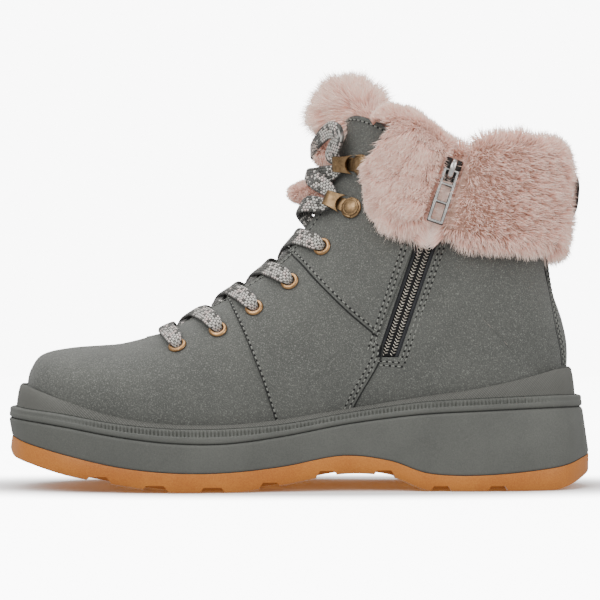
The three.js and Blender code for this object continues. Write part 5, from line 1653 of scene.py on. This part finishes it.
def fur_strands(name, at, place_range, q_range, count, keep, seed, pile=1.0, root=0.5, clump=8.0, droop=0.3,
                flow=False):
    """Strands over a furry form: they stand out from its middle, lean down a little and gather in locks."""
    count = int(count * thin)
    rng = np.random.default_rng(seed)
    grid_p = np.linspace(*place_range, 161)
    grid_q = np.linspace(*q_range, 81)
    skin = at(*np.meshgrid(grid_p, grid_q, indexing="ij"), 1.0)
    area = np.linalg.norm(np.cross(skin[1:, :-1] - skin[:-1, :-1], skin[:-1, 1:] - skin[:-1, :-1]), axis=-1)
    area = np.where(keep(skin[:-1, :-1]), area, 0).ravel()

    def scatter(n):
        cell = rng.choice(len(area), n, p=area / area.sum())
        i, j = np.divmod(cell, skin.shape[1] - 1)
        return (grid_p[i] + rng.random(n) * (grid_p[1] - grid_p[0]), grid_q[j]
                + rng.random(n) * (grid_q[1] - grid_q[0]))

    lock_count = max(12, int(area.sum() / clump ** 2))
    lock_place = scatter(lock_count)
    lean = rng.normal(0, 1, (lock_count, 3)) * 1.8
    lock_skin = at(*lock_place, 1.0)
    lock_tone = rng.random(lock_count)
    lock_long = rng.normal(1.0, 0.1, lock_count)
    place = scatter(count)
    base, tip = at(*place, root), at(*place, 1.0)
    nearest = np.concatenate([np.argmin(((tip[start:start + 4000, None] - lock_skin[None]) ** 2).sum(-1),
                                        axis=1)
                              for start in range(0, count, 4000)])
    pull = np.clip(rng.normal(0.16, 0.14, count), 0, 0.6)[:, None]
    tip = tip + ((lock_skin + lean)[nearest] - tip) * pull
    off = tip[:, 0] - zip_x(tip[:, 2])
    near = np.where(tip[:, 1] < 0, np.exp(-np.maximum(np.abs(off) - 5, 0) / 5.0), 0)
    low_down = np.clip((0.87 * upper_height - tip[:, 2]) / 12, 0, 1)
    tip[:, 0] -= np.sign(off) * near * (3.6 + 3.6 * low_down)
    tip[:, 1] += near * (2.2 + 2.6 * low_down)
    if flow:
        corner = np.exp(-np.maximum(from_corner(tip), 0) / 3.5) * np.clip((tip[:, 2] - 146) / 8, 0, 1)
        tip += corner[:, None] * np.array([-0.8, 0, 0.4])
        tip += np.linalg.norm(tip - base, axis=1)[:, None] * np.array([-0.1, 0, -0.26])
    under = np.flatnonzero((tip[:, 1] < 0) & (np.abs(tip[:, 0] - zip_x(tip[:, 2])) < 6.5)
                           & (np.abs(tip[:, 2] - 137) < 18))
    if len(under):
        flat, out_of = on_skin(tip[under, 0], tip[under, 2], -1)
        high = np.einsum("ij,ij->i", tip[under] - flat, out_of)
        room = 1.0 + np.clip((slider_z + 5 - tip[under, 2]) / 25, 0.0, 1.3) * 5.4
        tip[under] -= out_of * np.maximum(high - room, 0)[:, None]
    long = np.linalg.norm(tip - base, axis=1)
    stray = rng.normal(0, 1, (count, 3)) * 0.11 + np.array([0, 0, -droop * 0.35])
    d = unit(tip - base + stray * long[:, None])
    length = long * pile * lock_long[nearest] * np.clip(rng.normal(1.0, 0.13, count), 0.55, 1.3)
    up = unit(np.array([0, 0, -1.0]) * droop + rng.normal(0, 1, (count, 3)) * 0.7)
    up = unit(up - d * np.einsum("ij,ij->i", up, d)[:, None])
    tone = np.clip(lock_tone[nearest] * 0.5 + rng.random(count) * 0.5, 0, 1)
    size = np.stack([length, 0.34 * rng.uniform(0.75, 1.25, count), length * 0.8], 1)
    return lay_repeats(name, base, d, up, blade, (1, 1, 1), fur_strand, size, tone, 0.05, seed)


thin = 1.0
full_turns = np.linspace(0, 13, 40, endpoint=False)
ball_turns = np.arange(16) * 0.75
low, high = (zip_x(60), 60), (zip_x(260), 260)
for name, places, node, behind in (
        ("lobe_ground", np.linspace(0.1, 5.8, 60), "fur_lobe", [low, (190, 60), (190, 260), high]),
        ("cuff_ground", np.linspace(4.4, 16.9, 130), "fur_cuff", [(-90, 60), low, high, (-90, 260)])):
    core = fur_core(name, cuff_at, places, full_turns, 0.62)
    combine(core, zip_prism("slot", zip_slot_half + gap, 60, 260))
    combine(core, prism("behind", behind, -90, 0))
    combine(core, prism("corner", [(5, 151), (30, 151), (36, 160), (42.5, 169.5), (25, 175), (5, 182)], -90,
                        0))
    finished(core, 60, fur_ground, "fur", node)
roll_core = fur_core("tongue_fur_ground", roll_at, np.linspace(0.05, 7.95, 40), np.arange(24) / 2, 0.62)
finished(roll_core, 60, fur_ground, "fur", "tongue_fur")
for name, at, share, nodes in (("tuft_ground", tuft_at, 0.8, ["fur_tuft"]),
                               ("tongue_front_ground", front_at, 0.7, [])):
    finished(fur_core(name, at, np.linspace(0.3, 7.7, 12), ball_turns, share), 60, fur_ground, "fur", *nodes)

for fur in (
        fur_strands("lobe_fur", cuff_at, (0.1, 5.8), (0.3, 9.6), 34000, lambda p: grows(p, False), 11,
                    droop=0.5, flow=True),
        fur_strands("cuff_fur", cuff_at, (4.4, 16.9), (0.3, 9.6), 39500, lambda p: grows(p, True), 12,
                    clump=8.5),
        fur_strands("tongue_roll_fur", roll_at, (0.1, 7.9), (0, 12), 30000, above_floor, 13, pile=1.12),
        fur_strands("tongue_front_fur", front_at, (0.4, 7.6), (0, 12), 7000, above_floor, 15, root=0.66,
                    droop=0.2),
        fur_strands("tuft_fur", tuft_at, (0.4, 7.6), (0, 12), 9000, above_floor, 14, root=0.76, droop=0.1)):
    finished(fur, None, None, "fur")

# The two lobes' fur lies over the zip below the slider, under the pull
rng = np.random.default_rng(21)
count = int(4600 * thin)
lean_side = rng.choice((-1.0, 1.0), count)
lean_z = rng.uniform(0.685 * upper_height, 0.9 * upper_height, count)
room = 0.8 + np.clip((slider_z - lean_z) / 25, 0, 1.3) * 4.6
from_z = lean_z + rng.uniform(0, 4, count)
roots, _ = on_skin(zip_x(from_z) + lean_side * rng.uniform(4.8, 7.5, count), from_z, -1,
                   room * rng.uniform(0.3, 0.8, count))
tips, out_of = on_skin(zip_x(lean_z) - lean_side * rng.uniform(-2.6, 1.6, count), lean_z
                       - rng.uniform(0, 5, count), -1,
                       room * rng.uniform(0.7, 1.0, count))
long = np.linalg.norm(tips - roots, axis=1)
d = unit(tips - roots)
up = unit(out_of - d * np.einsum("ij,ij->i", out_of, d)[:, None])
size = np.stack([long, rng.uniform(0.26, 0.42, count), long * 0.3], 1)
zip_fur = lay_repeats("zip_fur", roots, d, up, blade, (1, 1, 1), fur_strand, size, rng.random(count) * 0.4,
                      0.05, 21)
finished(zip_fur, None, None, "fur")


# Webbing loop at the back of the cuff: height and how far out of the fur
loop_rows = [(0.69, 0.1), (0.72, 0.35), (0.765, 0.86), (0.81, 0.98), (0.86, 0.93), (0.9, 0.5), (0.925, 0.1)]
loop_width = 20.0
loop_path = [(around_shaft(180, out * fur_pile, z * upper_height), np.array([1.0, 0, 0]), loop_width)
             for z, out in loop_rows]
finished(strand("heel_loop", loop_path, 1.4), 50, webbing, "webbing", "heel_loop")


bpy.context.view_layer.update()
